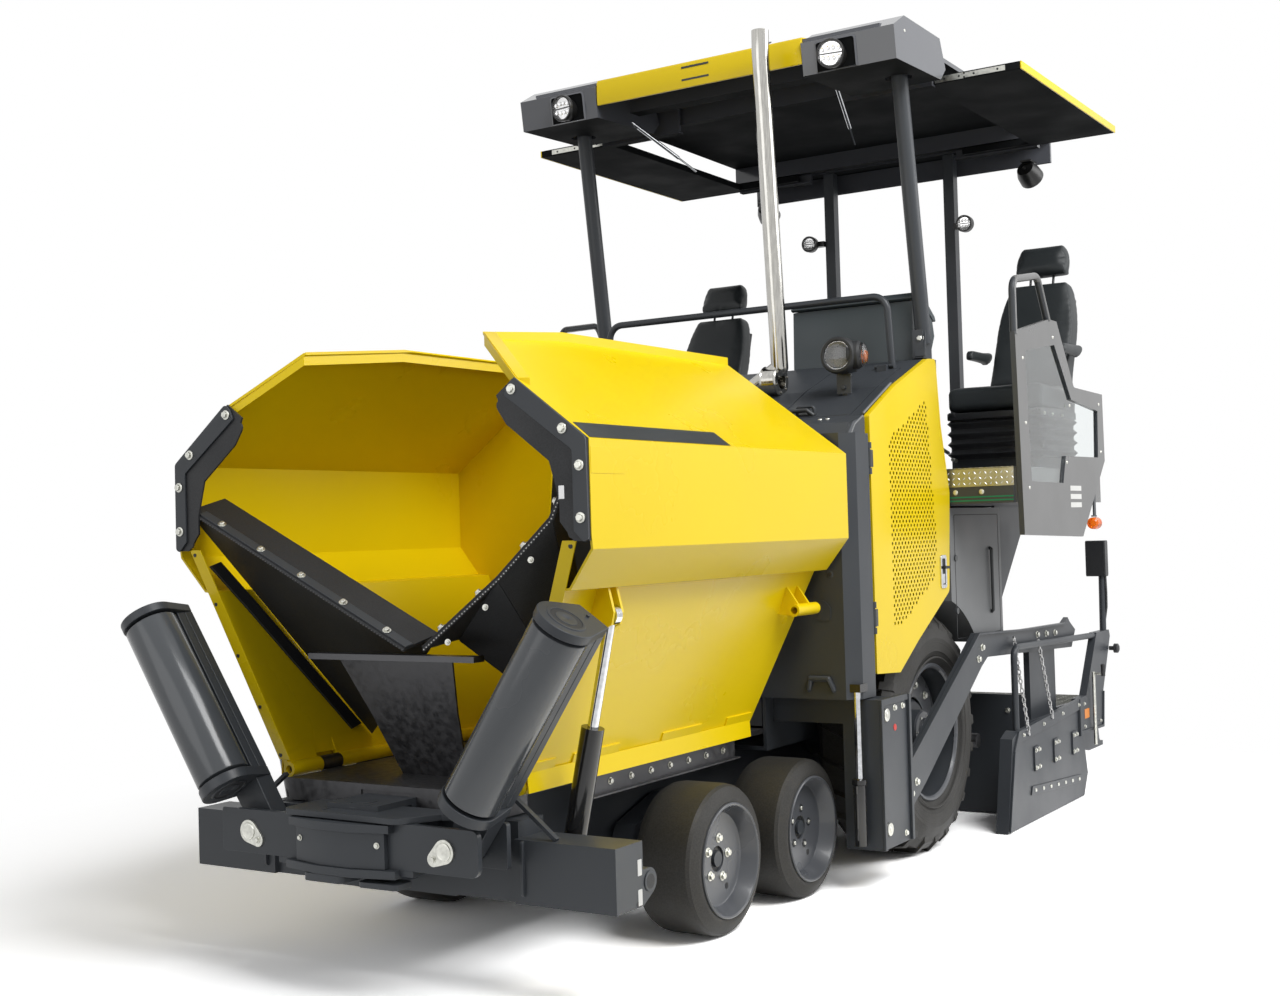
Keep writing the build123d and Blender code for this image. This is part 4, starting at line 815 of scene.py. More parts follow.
def flap_trim(name, side):
    """Bars, beads and bolts along the rubber flaps of the hopper's mouth."""
    body = f"wing_{name}"
    near = side > 0
    across = Vector(FLAP_BACK).normalized()
    wide = 26 if near else 34
    low, high = FLAP_BAR
    bar, beads, bolts = Form(side), Form(side), Form(side)
    for a, b in zip(FLAP_LINE[side], FLAP_LINE[side][1:]):
        start, end = Vector((a[0], MOUTH, a[1])), Vector((b[0], MOUTH, b[1]))
        along = (end - start).normalized()
        up = along.cross(across)
        up = -up if up.y > 0 else up
        length = (end - start).length
        ends = (start + across * 2, end + across * 2, end + across * wide, start + across * wide)
        bar.skin([[p + up * rise for p in ends] for rise in (low, high)])
        count = int(length / 13)
        for k in range(count):
            spot = start + along * (k + 0.5) * length / count
            beads.disc(spot + Vector((0, -6, -2)), (0, -1, 0), [(0, 2.6), (2.2, 1.8)], 6)
        count = max(1, round(length / 200))
        for k in range(count):
            spot = start + along * (k + 0.5) * length / count
            bolts.dot(spot + across * 18 + up * 13, up, 15, 3, 18)
            bolts.bolt(spot + across * 18 + up * 16, up, 9, False)
            if near:
                lower = spot + Vector((14, 10, -30))
                bolts.bolt(lower, (0.3, -1, 0.1), 7)
                bolts.rod(lower, spot + Vector((18, -1, -30)), 3, 8)
    piece(f"{body}_flap_bar", bar, body, "rubber" if near else "grey_paint", 1.2)
    piece(f"{body}_flap_beads", beads, body, "label" if near else "iron", 0)
    piece(f"{body}_flap_bolts", bolts, body, "zinc", 1)


def foot_bar(name, side):
    """The dark bar down a wing's inner face, which holds the flap's foot."""
    line = ((1395, 318), (1216, 455), (1043, 582), (865, 716), (770, 786))
    first = [(panel_x(z) - 10, s, z) for z, s in line]
    bar = Form(side).ribbon(first, [(x - 4, s - 54, z - 14) for x, s, z in first], (-9, 0, 4))
    piece(f"wing_{name}_foot_bar", bar, f"wing_{name}", "rubber", 2)


both_sides(wing_rims, wing_marks, edge_plate, flap_trim, foot_bar)
piece("wing_left_strip_end", Form().box((786, 812), (236, 262), (1566, 1612)), "wing_left", "steel", 4)


# Doors

DOOR_X = 900
DOOR_SHEET = 3
DOOR_PIVOT = 2262
DOOR_LINE = [(2278, 856), (2514, 842), (2721, 962), (3091, 1155), (3131, 1602), (3050, 1903), (3012, 2198),
             (2924, 2192), (2553, 2050), (2278, 1912)]
DOOR_ROUND = [6, 10, 30, 30, 30, 30, 24, 60, 60, 12]
GRILLE = [(2902, 2030), (2451, 1828), (2444, 1028), (2548, 1021), (2936, 1211), (2979, 1365)]
# A hole's cell, one of them in each, and where the rows start
CELL = (34, 18.5)
HOLE = 8.2
ROWS_FROM = 2440


def span(outline, z):
    """The first and last station of an outline at a height."""
    found = []
    for (s0, z0), (s1, z1) in zip(outline, outline[1:] + outline[:1]):
        if min(z0, z1) <= z < max(z0, z1):
            found.append(s0 + (s1 - s0) * (z - z0) / (z1 - z0))
    return (min(found), max(found)) if found else None


def hole_rows():
    """Rows of holes inside the grille's outline: the row's bottom, its first cell's edge and its count."""
    rows = []
    low, high = min(z for _, z in GRILLE), max(z for _, z in GRILLE)
    for number in range(int((high - low) / CELL[1])):
        z = low + number * CELL[1]
        ends = [span(GRILLE, z + CELL[1] * part) for part in (0.02, 0.98)]
        if None in ends:
            continue
        first, last = max(e[0] for e in ends), min(e[1] for e in ends)
        start = ROWS_FROM + (number % 2) * CELL[0] / 2
        start += math.ceil((first - start) / CELL[0]) * CELL[0]
        count = int((last - start) / CELL[0])
        if count > 0:
            rows.append((z, start, count))
    return rows


def hole_ring(s, z):
    """The hole of the cell whose corner is at (s, z)."""
    return round_spots(s + CELL[0] / 2, z + CELL[1] / 2, HOLE, 8, 22.5)


CELL_FACES = [(1, 2, 4, 11), (2, 5, 4), (2, 3, 6, 5), (3, 7, 6), (3, 0, 8, 7), (0, 9, 8), (0, 1, 10, 9),
              (1, 11, 10)]


def perforated(sheet, x, s, z):
    """One cell of the sheet round its hole."""
    cell = rectangle((s, s + CELL[0]), (z, z + CELL[1]))
    sheet.add([(x, a, b) for a, b in cell + hole_ring(s, z)], CELL_FACES)


def offset(outline, width):
    """A copy of a closed outline that turns left, set inside by a width."""
    inner = []
    for i, here in enumerate(outline):
        before, after = outline[i - 1], outline[(i + 1) % len(outline)]
        along = Vector((after[0] - before[0], after[1] - before[1])).normalized()
        inner.append((here[0] - along.y * width, here[1] + along.x * width))
    return inner


def door_sheet(name, side):
    """A perforated sheet with the return round its rim."""
    body = f"door_{name}"
    rows = hole_rows()
    cells = [(start + k * CELL[0], z) for z, start, count in rows for k in range(count)]
    near = [(start, z + rise) for z, start, _ in rows for rise in (0, CELL[1])]
    far = [(start + count * CELL[0], z + rise) for z, start, count in reversed(rows) for rise in (CELL[1], 0)]
    stairs = near + far
    outline = rounded(DOOR_LINE, DOOR_ROUND)
    triangles = tessellate_polygon([[Vector((s, z, 0)) for s, z in loop] for loop in (outline, stairs)])
    sheet = Form(side)
    faces = (DOOR_X, DOOR_X - DOOR_SHEET)
    for x in faces:
        sheet.add([(x, s, z) for s, z in outline + stairs], triangles)
        for cell in cells:
            perforated(sheet, x, *cell)
    walls = [(i, (i + 1) % 8, 8 + (i + 1) % 8, 8 + i) for i in range(8)]
    for cell in cells:
        sheet.add([(x, s, z) for x in faces for s, z in hole_ring(*cell)], walls)
    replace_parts(piece(f"{body}_sheet", sheet, body, "yellow_paint", 0), body)
    rim = Form(side).window(outline, offset(outline, DOOR_SHEET), DOOR_X - 25, DOOR_X - 0.5, "x")
    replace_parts(piece(f"{body}_rim", rim, body, "yellow_paint", 1), body)


def door_iron(name, side):
    """Hinges and latch of a door."""
    body = f"door_{name}"
    iron = Form(side)
    for z in (1050, 1700):
        iron.rod((DOOR_X, DOOR_PIVOT, z), (DOOR_X, DOOR_PIVOT, z + 70), 12, 16)
        iron.box((DOOR_X - 8, DOOR_X + 2.5), (DOOR_PIVOT, 2300), (z, z + 70))
    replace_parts(piece(f"{body}_hinges", iron, body, "black_vinyl", 1), body)
    latch = Form(side)
    outer, inner = rectangle((2985, 3052), (1172, 1320), 14), rectangle((2999, 3038), (1188, 1304), 8)
    latch.window(outer, inner, DOOR_X - 1, DOOR_X + 7, "x")
    latch.plate(rectangle((3003, 3034), (1192, 1236), 5), DOOR_X, DOOR_X + 5, "x")
    piece(f"{body}_latch", latch, body, "chrome", 1)
    inset = Form(side).plate(rectangle((2997, 3040), (1186, 1306)), DOOR_X + 0.2, DOOR_X + 1.4, "x")
    inset.box((DOOR_X + 1, DOOR_X + 20), (3008, 3064), (1258, 1270))
    piece(f"{body}_latch_inset", inset, body, "rubber", 1)


both_sides(door_sheet, door_iron)


# Hood, front wall and exhaust

LAMP_X, LAMP_Z = 700, 2185


def headlight(name, side):
    """A round lamp in a fat rubber ring, with a side indicator. The left one stands on the lid."""
    body = "hood_lid" if side > 0 else "chassis"
    x, z = LAMP_X, LAMP_Z
    ahead, aside = (0, -1, 0), (1, 0.25, 0)
    shell = Form(side)
    shell.turn((x, 2412, z), (0, 1, 0), [(0, 60), (-4, 64), (-3, 73), (4, 78), (20, 80), (60, 78), (100, 66),
                                         (118, 44), (118, 1), (110, 1), (100, 1), (8, 60)], 48)
    shell.disc((x + 30, 2466, z), aside, [(0, 62), (44, 60), (58, 50)], 40)
    piece(f"headlight_{name}_shell", shell, body, "rubber", 1.5)
    stand = Form(side).box((x - 33, x + 33), (2473, 2480), (2024, 2110))
    stand.disc((x, 2500, 2098), (0, 0, 1), [(0, 26), (8, 26), (10, 18), (24, 14)], 24)
    stand.bolt((x, 2473, 2050), ahead, 8)
    piece(f"headlight_{name}_stand", stand, body, "grey_paint", 1.5)
    bowl = [(0, 10), (8, 30), (24, 50), (44, 60), (46, 60), (46.2, 58), (24, 46), (8, 26), (4, 8)]
    glass = [(0, 60), (3, 59), (7, 45), (9, 20), (9.5, 2)]
    dome = [(0, 52), (12, 50), (22, 36), (27, 14), (28, 2)]
    for part, finish, at, way, profile, sides in (
            ("mirror", "reflector", (x, 2462, z), ahead, bowl, 40),
            ("lens", "clear_lens", (x, 2417, z), ahead, glass, 40),
            ("indicator", "clear_lens", (x + 84, 2479, z), aside, dome, 40),
            ("bulb", "amber_lens", (x + 83, 2480, z - 6), aside, [(0, 22), (10, 20), (16, 10)], 20)):
        piece(f"headlight_{name}_{part}", Form(side).disc(at, way, profile, sides), body, finish, 0)


def lid_handle():
    """The bow handle on the hood's lid, and the two rivets in front of it."""
    handle = Form()
    handle.pipe([(508, 2296, 1926), (525, 2282, 1966), (625, 2282, 1966), (642, 2296, 1926)], 10, 18, 12)
    handle.slab([(500, 2290, 1927), (650, 2290, 1927), (650, 2308, 1936), (500, 2308, 1936)], 5)
    piece("lid_handle", handle, "hood_lid", "black_vinyl", 1)
    studs = Form()
    for x in (700, 735):
        studs.rivet((x, 2232, 1903.5), (0, -0.2, 0.98), 9)
    piece("hood_rivets", studs, "chassis", "zinc", 0)


def hood_corner(name, side):
    """The curved panel between front wall, hood and door, and light grey beads along its edges, painted as
    their highlights.
    """
    corner = Form(side)
    corner.plate([(2106, 1776), (2106, 1836), (2152, 1881), (2262, 1914), (2262, 1776)], 862, 889, "x")
    corner.plate([(2106, 1776), (2106, 1834), (2146, 1834), (2146, 1776)], 838, 866, "x")
    piece(f"hood_corner_{name}", corner, "chassis", "grey_paint", 9, 4)
    strip = Form(side).box((881, 893.5), (2129, 2134), (790, 1500))
    strip.box((892.2, 894), (2131, 2246), (772, 1500))
    piece(f"bulkhead_strip_{name}", strip, "chassis", "aluminium", 1)
    # Painted highlight: light grey beads along the panel's and the hood's edges
    trim = Form(side)
    trim.pipe([(888, 2240, 1908), (888, 2152, 1882), (888, 2110, 1838), (890, 2108, 1790), (893, 2132, 1760),
               (893, 2132, 1560), (893, 2150, 1512)], 4, 14, 8)
    trim.pipe([(880, 2262, 1920), (880, 2553, 2062)], 5, 60, 8)
    piece(f"hood_edge_highlight_{name}", trim, "chassis", "light_grey_paint", 0)


def bulkhead_fittings(name, side):
    """A boss, a plate and a bow on the front wall, with a dark disc and a dark strip painted as the shade in
    their openings.
    """
    fittings = Form(side).disc((800, 2085, 1270), (0, -1, 0), [(0, 16), (14, 16), (16, 12)], 20)
    plate = [(745, 1086), (800, 1086), (800, 1140), (772, 1165), (745, 1165)]
    fittings.plate(rounded(plate, 10), 2068, 2085, "s")
    half = ((2085, 800), (2060, 800), (2060, 868))
    fittings.pipe([(690, *p) for p in half] + [(800, *p) for p in half[::-1]], 12, 16, 10)
    piece(f"bulkhead_fittings_{name}", fittings, "chassis", "grey_paint", 1.5)
    # Painted shade: a dark disc in the boss's opening and a dark strip in the slot behind the bow
    dark = Form(side).dot((800, 2068.8, 1270), (0, -1, 0), 9, 0.5)
    dark.box((704, 786), (2083.5, 2084.4), (806, 850))
    piece(f"bulkhead_slot_shade_{name}", dark, "chassis", "rubber", 0)


EXHAUST = (286, 2545, 2110)
FLANGE_BOLTS = 54


def exhaust():
    """The polished pipe, its flange and clamp, and a dark disc inside the slanting mouth, which is the bore's
    black deposits together with painted shade down it.
    """
    _, s, z = EXHAUST
    ring = Form()
    profile = [(0, 38), (0, 64), (6, 68), (12, 64), (70, 64), (76, 68), (82, 64), (82, 38)]
    ring.turn(EXHAUST, (1, 0, 0), profile, 40)
    ring.rod((300, s, 2040), (300, s, 2060), 9, 12)
    ring.bolts([(368, *p) for p in round_spots(s, z, FLANGE_BOLTS, 6, 20)], (1, 0, 0), 5, False)
    piece("exhaust_flange", ring, "chassis", "stainless", 1)
    line = [(120, s, 2000), (120, s, z), (420, s, z), (420, 2408, 3505), (414, 2352, 3606)]
    pipe = Form().pipe(line, 38, 58, 40, 4, 8)
    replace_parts(piece("exhaust_pipe", pipe, "chassis", "stainless", 0), "exhaust")
    # Black deposits and painted shade: a dark disc closing the bore a little inside the mouth
    soot_and_shade = Form().dot((417, 2382, 3552), (-0.06, -0.49, 0.87), 33.8, 0.8, 32)
    piece("exhaust_soot_and_shade", soot_and_shade, "chassis", "rubber", 0)


both_sides(headlight, hood_corner, bulkhead_fittings)
lid_handle()
exhaust()


# Roof

EXTENSION_Z = (3455, 3490)
EXTENSION_S = (3105, 4555)
EXTENSION_END = 1310


def led_lamp(name, body, centre, direction, radius, place=1):
    """A round work lamp: its ring, two halves with four small lenses each, and a clear cover."""
    axis = unit(direction)
    out = axis.cross(Vector((0, 0, 1))).normalized()
    up = out.cross(axis)
    at = Vector(centre)
    ring = Form(place)
    profile = ((-8, -6), (-8, 0), (8, 0), (12, -2), (12, -9), (4, -12))
    ring.turn(at, axis, [(a, radius + r) for a, r in profile], 40)
    half = radius - 8
    ring.slab([at + axis * 4 + out * a + up * b for a, b in rectangle((-half, half), (-3, 3))], 6)
    piece(f"{name}_ring", ring, body, "lamp", 1)
    plate = Form(place).disc(at, axis, [(-6, radius - 7), (0, radius - 8)], 40)
    small = [(0, radius * 0.17), (5, radius * 0.16), (2.5, radius * 0.1), (1.5, 1)]
    for above in (1, -1):
        for k in range(4):
            rise = 0.34 if k in (1, 2) else 0.28
            plate.disc(at + out * (k - 1.5) * radius * 0.38 + up * above * radius * rise, axis, small, 14)
    piece(f"{name}_mirrors", plate, body, "reflector", 0)
    cover = Form(place).disc(at, axis, [(9, radius - 9), (10.5, radius - 9)], 40)
    piece(f"{name}_cover", cover, body, "clear_lens", 0)


def fascia():
    """The yellow front between the lamp pods, with the two bars of its blank sign."""
    front = [(2499, 3474), (2496, 3500), (2497, 3578), (2505, 3592), (2560, 3602), (2704, 3619),
             (2704, 3611.5), (2560, 3594), (2509.5, 3586), (2509.5, 3474)]
    piece("roof_fascia", Form().plate(front, -537, 537, "x"), "chassis", "yellow_paint", 2)
    sign = Form()
    for low in (3562, 3505):
        sign.plate(rectangle((-70, 72), (low, low + 9)), 2495.2, 2496.4, "s")
    piece("roof_sign", sign, "chassis", "black_vinyl", 0)


def on_pod(outline, ahead):
    """An outline laid on a lamp pod's leaning front."""
    return [(x, 2505 - (z - 3420) / 7 - ahead, z) for x, z in outline]


def lamp_pod(name, side):
    """A pod's dark recess with its frame and work lamp, and the bolt on its outer end."""
    inner = rounded([(612, 3424), (612, 3545), (792, 3545), (792, 3424)], [0, 12, 12, 0])
    outer = rounded([(604, 3421), (604, 3553), (800, 3553), (800, 3421)], [0, 18, 18, 0])
    recess = Form(side).skin([on_pod(inner, ahead) for ahead in (0.4, 1.6)])
    piece(f"pod_{name}_recess", recess, "chassis", "liner", 0)
    edge = ((outer, 0.3), (outer, 2), (inner, 7), (inner, 0.3))
    rim = Form(side).skin([on_pod(outline, ahead) for outline, ahead in edge], joined=True)
    piece(f"pod_{name}_frame", rim, "chassis", "pod_paint", 0)
    led_lamp(f"pod_{name}_lamp", "chassis", (700, 2447, 3478), (0.15, -1, -0.12), 62, side)
    bolt = Form(side).disc((975, 2600, 3560), (1, 0, 0), [(0, 7), (2, 6)], 12)
    piece(f"pod_{name}_bolts", bolt, "chassis", "zinc", 0)


def extension(name, side):
    """The sliding panel on its two arms, its yellow edge, zinc slides, and dark dots painted as the shade in
    its screw holes.
    """
    body = f"roof_extension_{name}"
    first, last = EXTENSION_S
    edge = EXTENSION_END - 7
    # The panel's dark lining is near-black and almost unreflecting, which also paints the shade under the
    # roof
    panel = Form(side).plate(rectangle((870, edge), EXTENSION_S, 6), *EXTENSION_Z, "z")
    for s in (first + 20, last - 60):
        panel.box((500, 872), (s, s + 40), EXTENSION_Z)
    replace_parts(piece(f"{body}_panel", panel, body, "liner", 3), body)
    strip = Form(side).plate(rectangle((edge + 0.2, EXTENSION_END), EXTENSION_S, 2), *EXTENSION_Z, "z")
    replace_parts(piece(f"{body}_edge", strip, body, "yellow_paint", 1), body)
    slides = Form(side)
    for s, ahead in ((first, -1), (last, 1)):
        for x, thick, z in (((905, 1040), 0.9, (3459, 3486)), ((1048, 1235), 0.9, (3461, 3484)),
                            ((905, 1235), 1.4, (3468, 3477))):
            slides.box(x, (s, s + ahead * thick), z)
    piece(f"{body}_slides", slides, body, "zinc", 0)
    # Painted shade: dark dots in the screw holes of the panel's front
    marks = Form(side)
    for x in (950, 1020, 1090, 1200):
        marks.dot((x, first - 1.5, 3472), (0, -1, 0), 5, 0.4, 12)
    piece(f"{body}_marks", marks, body, "rubber", 0)


def post_trim(name, side):
    """Bolts and foot of the front post, the gas strut, and the lamps on the rear posts and under the roof."""
    bolts = Form(side).bolt((850, 2966, 2290), (0, -1, 0.15), 12).bolt((850, 3002, 2420), (0.98, -0.2, 0), 7)
    piece(f"roof_post_{name}_bolts", bolts, "chassis", "zinc", 1)
    foot = Form(side).slab([(826, 2955, 2210), (874, 2955, 2210), (874, 2975, 2330), (826, 2975, 2330)], -8)
    piece(f"roof_post_{name}_foot", foot, "chassis", "grey_paint", 1.5)
    strut = Form(side)
    strut.rod((560, 2760, 3480), (470, 3120, 3330), 9, 14)
    strut.rod((515, 2940, 3405), (440, 3240, 3280), 5, 10)
    piece(f"roof_strut_{name}", strut, "chassis", "chrome", 0)
    led_lamp(f"post_{name}_lamp", "chassis", (470, 4569, 3095), (0, -1, -0.1), 46, side)
    rear = Form(side)
    rear.turn((800, 4705, 3335), (0.15, 1, -0.55),
              [(-70, 12), (-62, 46), (-20, 62), (30, 66), (34, 58), (-10, 50), (-40, 12)], 32)
    rear.rod((800, 4700, 3372), (800, 4700, 3402), 12, 14)
    rear.box((770, 830), (4640, 4735), (3398, 3408))
    piece(f"rear_lamp_{name}_shell", rear, "chassis", "lamp", 1)


fascia()
both_sides(lamp_pod, extension, post_trim)


# Operator stations

SEAT_X = 950
BACK_TOP = 2700
# The cloth simulation that blows the pads up: their mesh, the pressure in them and its run
VOXEL = 0.014
PRESSURE = 4
SIM_FRAMES = 20


def cushion(name, side, part, outline, half, grow=9, middle=SEAT_X):
    """A seat pad: a smaller block of its side view, blown up by no more than grow."""
    centre = Vector((sum(s for s, _ in outline) / len(outline), sum(z for _, z in outline) / len(outline)))
    small = [centre + (Vector(p) - centre) * (1 - grow / (Vector(p) - centre).length) for p in outline]
    form = Form()
    x0, x1 = sorted((side * (middle - half + grow), side * (middle + half - grow)))
    form.plate(rounded([tuple(p) for p in small], 26), x0, x1, "x")
    pad = piece(f"seat_{name}_{part}", form, f"station_{name}", "seat_cover", 0)
    inflate(pad, grow / 1000)
    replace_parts(pad, f"seat_{name}")
    return pad


def inflate(pad, limit):
    """Blows a pad up as cloth, holds each point within a limit of its place and smooths the mesh."""
    scene = bpy.context.scene
    remesh = pad.modifiers.new("remesh", "REMESH")
    remesh.mode = "VOXEL"
    remesh.voxel_size = VOXEL
    settle(pad)
    rest = [v.co.copy() for v in pad.data.vertices]
    sim = pad.modifiers.new("cloth", "CLOTH")
    sim.settings.use_pressure = True
    sim.settings.uniform_pressure_force = PRESSURE
    sim.settings.effector_weights.gravity = 0
    sim.settings.quality = 4
    for number in range(1, SIM_FRAMES + 1):
        scene.frame_set(number)
    settle(pad)
    for vertex, start in zip(pad.data.vertices, rest):
        moved = vertex.co - start
        if moved.length > limit:
            vertex.co = start + moved * limit / moved.length
    scene.frame_set(1)
    subdivide = pad.modifiers.new("smooth", "SUBSURF")
    subdivide.levels = subdivide.render_levels = 1
    settle(pad)
    pad.data.shade_smooth()


def settle(pad):
    """Applies every modifier of a pad to its mesh."""
    shaped = bpy.data.meshes.new_from_object(pad.evaluated_get(bpy.context.evaluated_depsgraph_get()))
    pad.modifiers.clear()
    pad.data = shaped


def round_shoulders(pad, middle, start, amount):
    """Draws a pad's sides in towards its top, from a share of its height on."""
    heights = [v.co.z for v in pad.data.vertices]
    low, high = min(heights), max(heights)
    for vertex in pad.data.vertices:
        part = max(0, ((vertex.co.z - low) / (high - low) - start) / (1 - start))
        vertex.co.x = middle + (vertex.co.x - middle) * math.sqrt(1 - (amount * part) ** 2)


def seat_pads(name, side):
    """Cushion, back, headrest and the two armrests."""
    cushion(name, side, "cushion", [(3580, 2000), (3600, 2110), (4128, 2106), (4128, 1995)], 245)
    line = [(4082, 2112), (4200, 2112), (4330, 2360), (4436, BACK_TOP - 10), (4338, BACK_TOP), (4200, 2390)]
    back = cushion(name, side, "back", line, 215)
    line = [(4340, 2722), (4440, 2712), (4488, 2875), (4445, 2896), (4402, 2896)]
    headrest = cushion(name, side, "headrest", line, 140)
    round_shoulders(back, side * SEAT_X / 1000, 0.5, 0.72)
    round_shoulders(headrest, side * SEAT_X / 1000, 0.4, 0.6)
    line = [(3902, 2277), (4170, 2265), (4238, 2300), (4238, 2340), (3930, 2325)]
    for part, middle in (("arm_in", SEAT_X - 236.5), ("arm_out", SEAT_X + 236.5)):
        cushion(name, side, part, line, 21.5, grow=5, middle=middle)


def seat_frame(name, side):
    """The shell behind the back, the headrest's rods, the side panels and the tray under the cushion."""
    frame_form = Form(side)
    back = [(4212, 2112), (4226, 2112), (4352, 2350), (4428, 2590), (4414, 2594), (4338, 2358)]
    frame_form.plate(back, SEAT_X - 165, SEAT_X + 165, "x")
    for x in (SEAT_X - 60, SEAT_X + 60):
        frame_form.rod((x, 4380, 2670), (x, 4400, 2740), 7, 10)
    flank = rounded([(3560, 1992), (3600, 1965), (4140, 1965), (4180, 2120), (4130, 2130), (4100, 2010)],
                    [8, 8, 30, 10, 10, 20])
    for x in (SEAT_X - 205, SEAT_X + 205):
        frame_form.plate(flank, x - 14, x + 14, "x")
    tray = rounded([(3590, 1955), (3590, 1990), (4130, 1990), (4130, 1955)], 8)
    frame_form.plate(tray, SEAT_X - 230, SEAT_X + 230, "x")
    piece(f"seat_{name}_frame", frame_form, f"station_{name}", "dark_plastic", 3)


def seat_base(name, side):
    """The bellows under the seat, with its rail, bolts and levers."""
    bellows = Form(side)
    mid = rectangle((SEAT_X - 226, SEAT_X + 226), (3619, 4101), 30)
    outer = rectangle((SEAT_X - 248, SEAT_X + 248), (3598, 4122), 40)
    for z in (1790, 1840, 1890, 1940):
        fold = ((mid, z - 22), (outer, z), (mid, z + 22))
        bellows.skin([[(x, s, height) for x, s in line] for line, height in fold])
    piece(f"seat_{name}_bellows", bellows, f"station_{name}", "rubber", 1)
    trim = Form(side).bolts([(SEAT_X + 231, s, 1968) for s in (3640, 3760, 3900)], (1, 0, 0), 6)
    trim.slab([(SEAT_X + 219, s, z) for s, z in rectangle((3600, 4150), (1976, 1988))], 3)
    trim.rod((720, 3590, 1800), (720, 3520, 1815), 9, 12)
    trim.rod((760, 3590, 1760), (760, 3540, 1765), 9, 12)
    piece(f"seat_{name}_fittings", trim, f"station_{name}", "zinc", 1)


GUARD_FACES = (1212, 1236)
WINDOW = [(3240, 2225), (3274, 1640), (3727, 1635), (3778, 1765), (4300, 1770), (4316, 2005), (3890, 2040),
          (3658, 2285)]
AMBER = (1224, 4238, 1440)


def guard(name, side):
    """Window, rivets and blank signs of a guard panel, and the amber lamp under it."""
    body = f"station_{name}"
    piece(f"guard_{name}_glass", Form(side).plate(WINDOW, 1222, 1226, "x"), body, "glass", 0)
    rivets = Form(side)
    for s, z in ((3205, 2190), (3218, 1900), (3240, 1610), (3640, 2320), (3860, 2010), (4340, 2040),
                 (4350, 1800), (3790, 1735)):
        rivets.rivet((GUARD_FACES[1], s, z), (1, 0, 0), 8)
        rivets.rivet((GUARD_FACES[0], s, z), (-1, 0, 0), 8)
    piece(f"guard_{name}_rivets", rivets, body, "zinc", 0)
    signs = Form(side)
    for z in (1600, 1560, 1520):
        signs.plate(rectangle((3830, 4000), (z, z + 24)), GUARD_FACES[1] + 0.2, GUARD_FACES[1] + 0.8, "x")
    piece(f"guard_{name}_signs", signs, body, "label", 0)
    lamp = Form(side).disc(AMBER, (0, 1, 0), [(-36, 20), (-28, 29), (28, 31), (40, 23)], 20)
    piece(f"amber_{name}", lamp, body, "amber_lens", 1)
    bracket = Form(side).box((1219, 1229), (4206, 4270), (1472, 1480))
    bracket.box((1220, 1228), (4230, 4262), (1478, 1622))
    piece(f"amber_{name}_bracket", bracket, body, "grey_paint", 1)


TRAY_X = (504, 1198)
TRAY_FRONT = 3140
BAR_FACES = [(0, 1, 4), (1, 5, 4), (1, 2, 5), (2, 3, 5), (3, 4, 5), (3, 0, 4)]


def checker(form, corner, rows, second, rise):
    """Rows of raised bars on a sheet, leaning by turns, each with a ridge."""
    second, rise = Vector(second), Vector(rise)
    for row in range(rows):
        for k in range(28):
            at = Vector(corner) + Vector((k * 25, 0, 0)) + second * row * 24
            lean = 1 if (row + k) % 2 else -1
            along = Vector((0.7, 0, 0)) + second * 0.7 * lean
            across = Vector((-0.7 * lean, 0, 0)) + second * 0.7
            foot = [at + along * 10, at + across * 3, at - along * 10, at - across * 3]
            form.add([*foot, at + along * 6 + rise, at - along * 6 + rise], BAR_FACES)


def tray(name, side):
    """The checker plate on a station's tray and its front, and the band, green lines and bolts below."""
    body = f"station_{name}"
    top = Form(side).box(TRAY_X, (3146, 3560), (1704.2, 1706.5))
    checker(top, (516, 3160, 1706.4), 17, (0, 1, 0), (0, 0, 1.6))
    piece(f"tray_{name}_checker", top, body, "aluminium", 0)
    front = Form(side).box(TRAY_X, (3142.8, 3144.8), (1622, 1702))
    checker(front, (516, 3142.9, 1636), 3, (0, 0, 1), (0, -1.6, 0))
    piece(f"tray_{name}_front_checker", front, body, "aluminium", 0)
    band = Form(side).box(TRAY_X, (TRAY_FRONT, 3144.6), (1545, 1618))
    piece(f"tray_{name}_band", band, body, "grey_paint", 1)
    lines = Form(side)
    for z in (1572, 1556):
        lines.box((506, 1196), (TRAY_FRONT - 1, TRAY_FRONT + 0.2), (z, z + 6))
    piece(f"tray_{name}_lines", lines, body, "green_paint", 0)
    bolts = Form(side).bolts([(x, TRAY_FRONT, 1598) for x in (640, 925, 1048)], (0, -1, 0), 8)
    piece(f"tray_{name}_bolts", bolts, body, "zinc", 1)


# The steering wheel: its middle, its axis and its rim's reach along X, S and Z
WHEEL = Vector((500, 3330, 2390))
WHEEL_AXIS = (0, 0.75, 0.66)
WHEEL_REACH = (170, 112, -127)
WHEEL_RIM = 14


def console():
    """The console's hood and the rings round its gauges."""
    line = [(2990, 2480), (3008, 2506), (3108, 2520), (3262, 2422), (3276, 2396), (3240, 2404), (3100, 2492),
            (3010, 2473)]
    piece("console_hood", Form().plate(rounded(line, 5), 196, 804, "x"), "chassis", "dash_plastic", 3)
    rings = Form()
    for x in (300, 400, 500, 600, 700):
        rings.turn((x, 3192, 2447), (0, 0.63, 0.78), [(0, 22), (0, 34), (8, 34), (8, 28), (3, 24)], 24)
    piece("console_rings", rings, "chassis", "black_vinyl", 0)


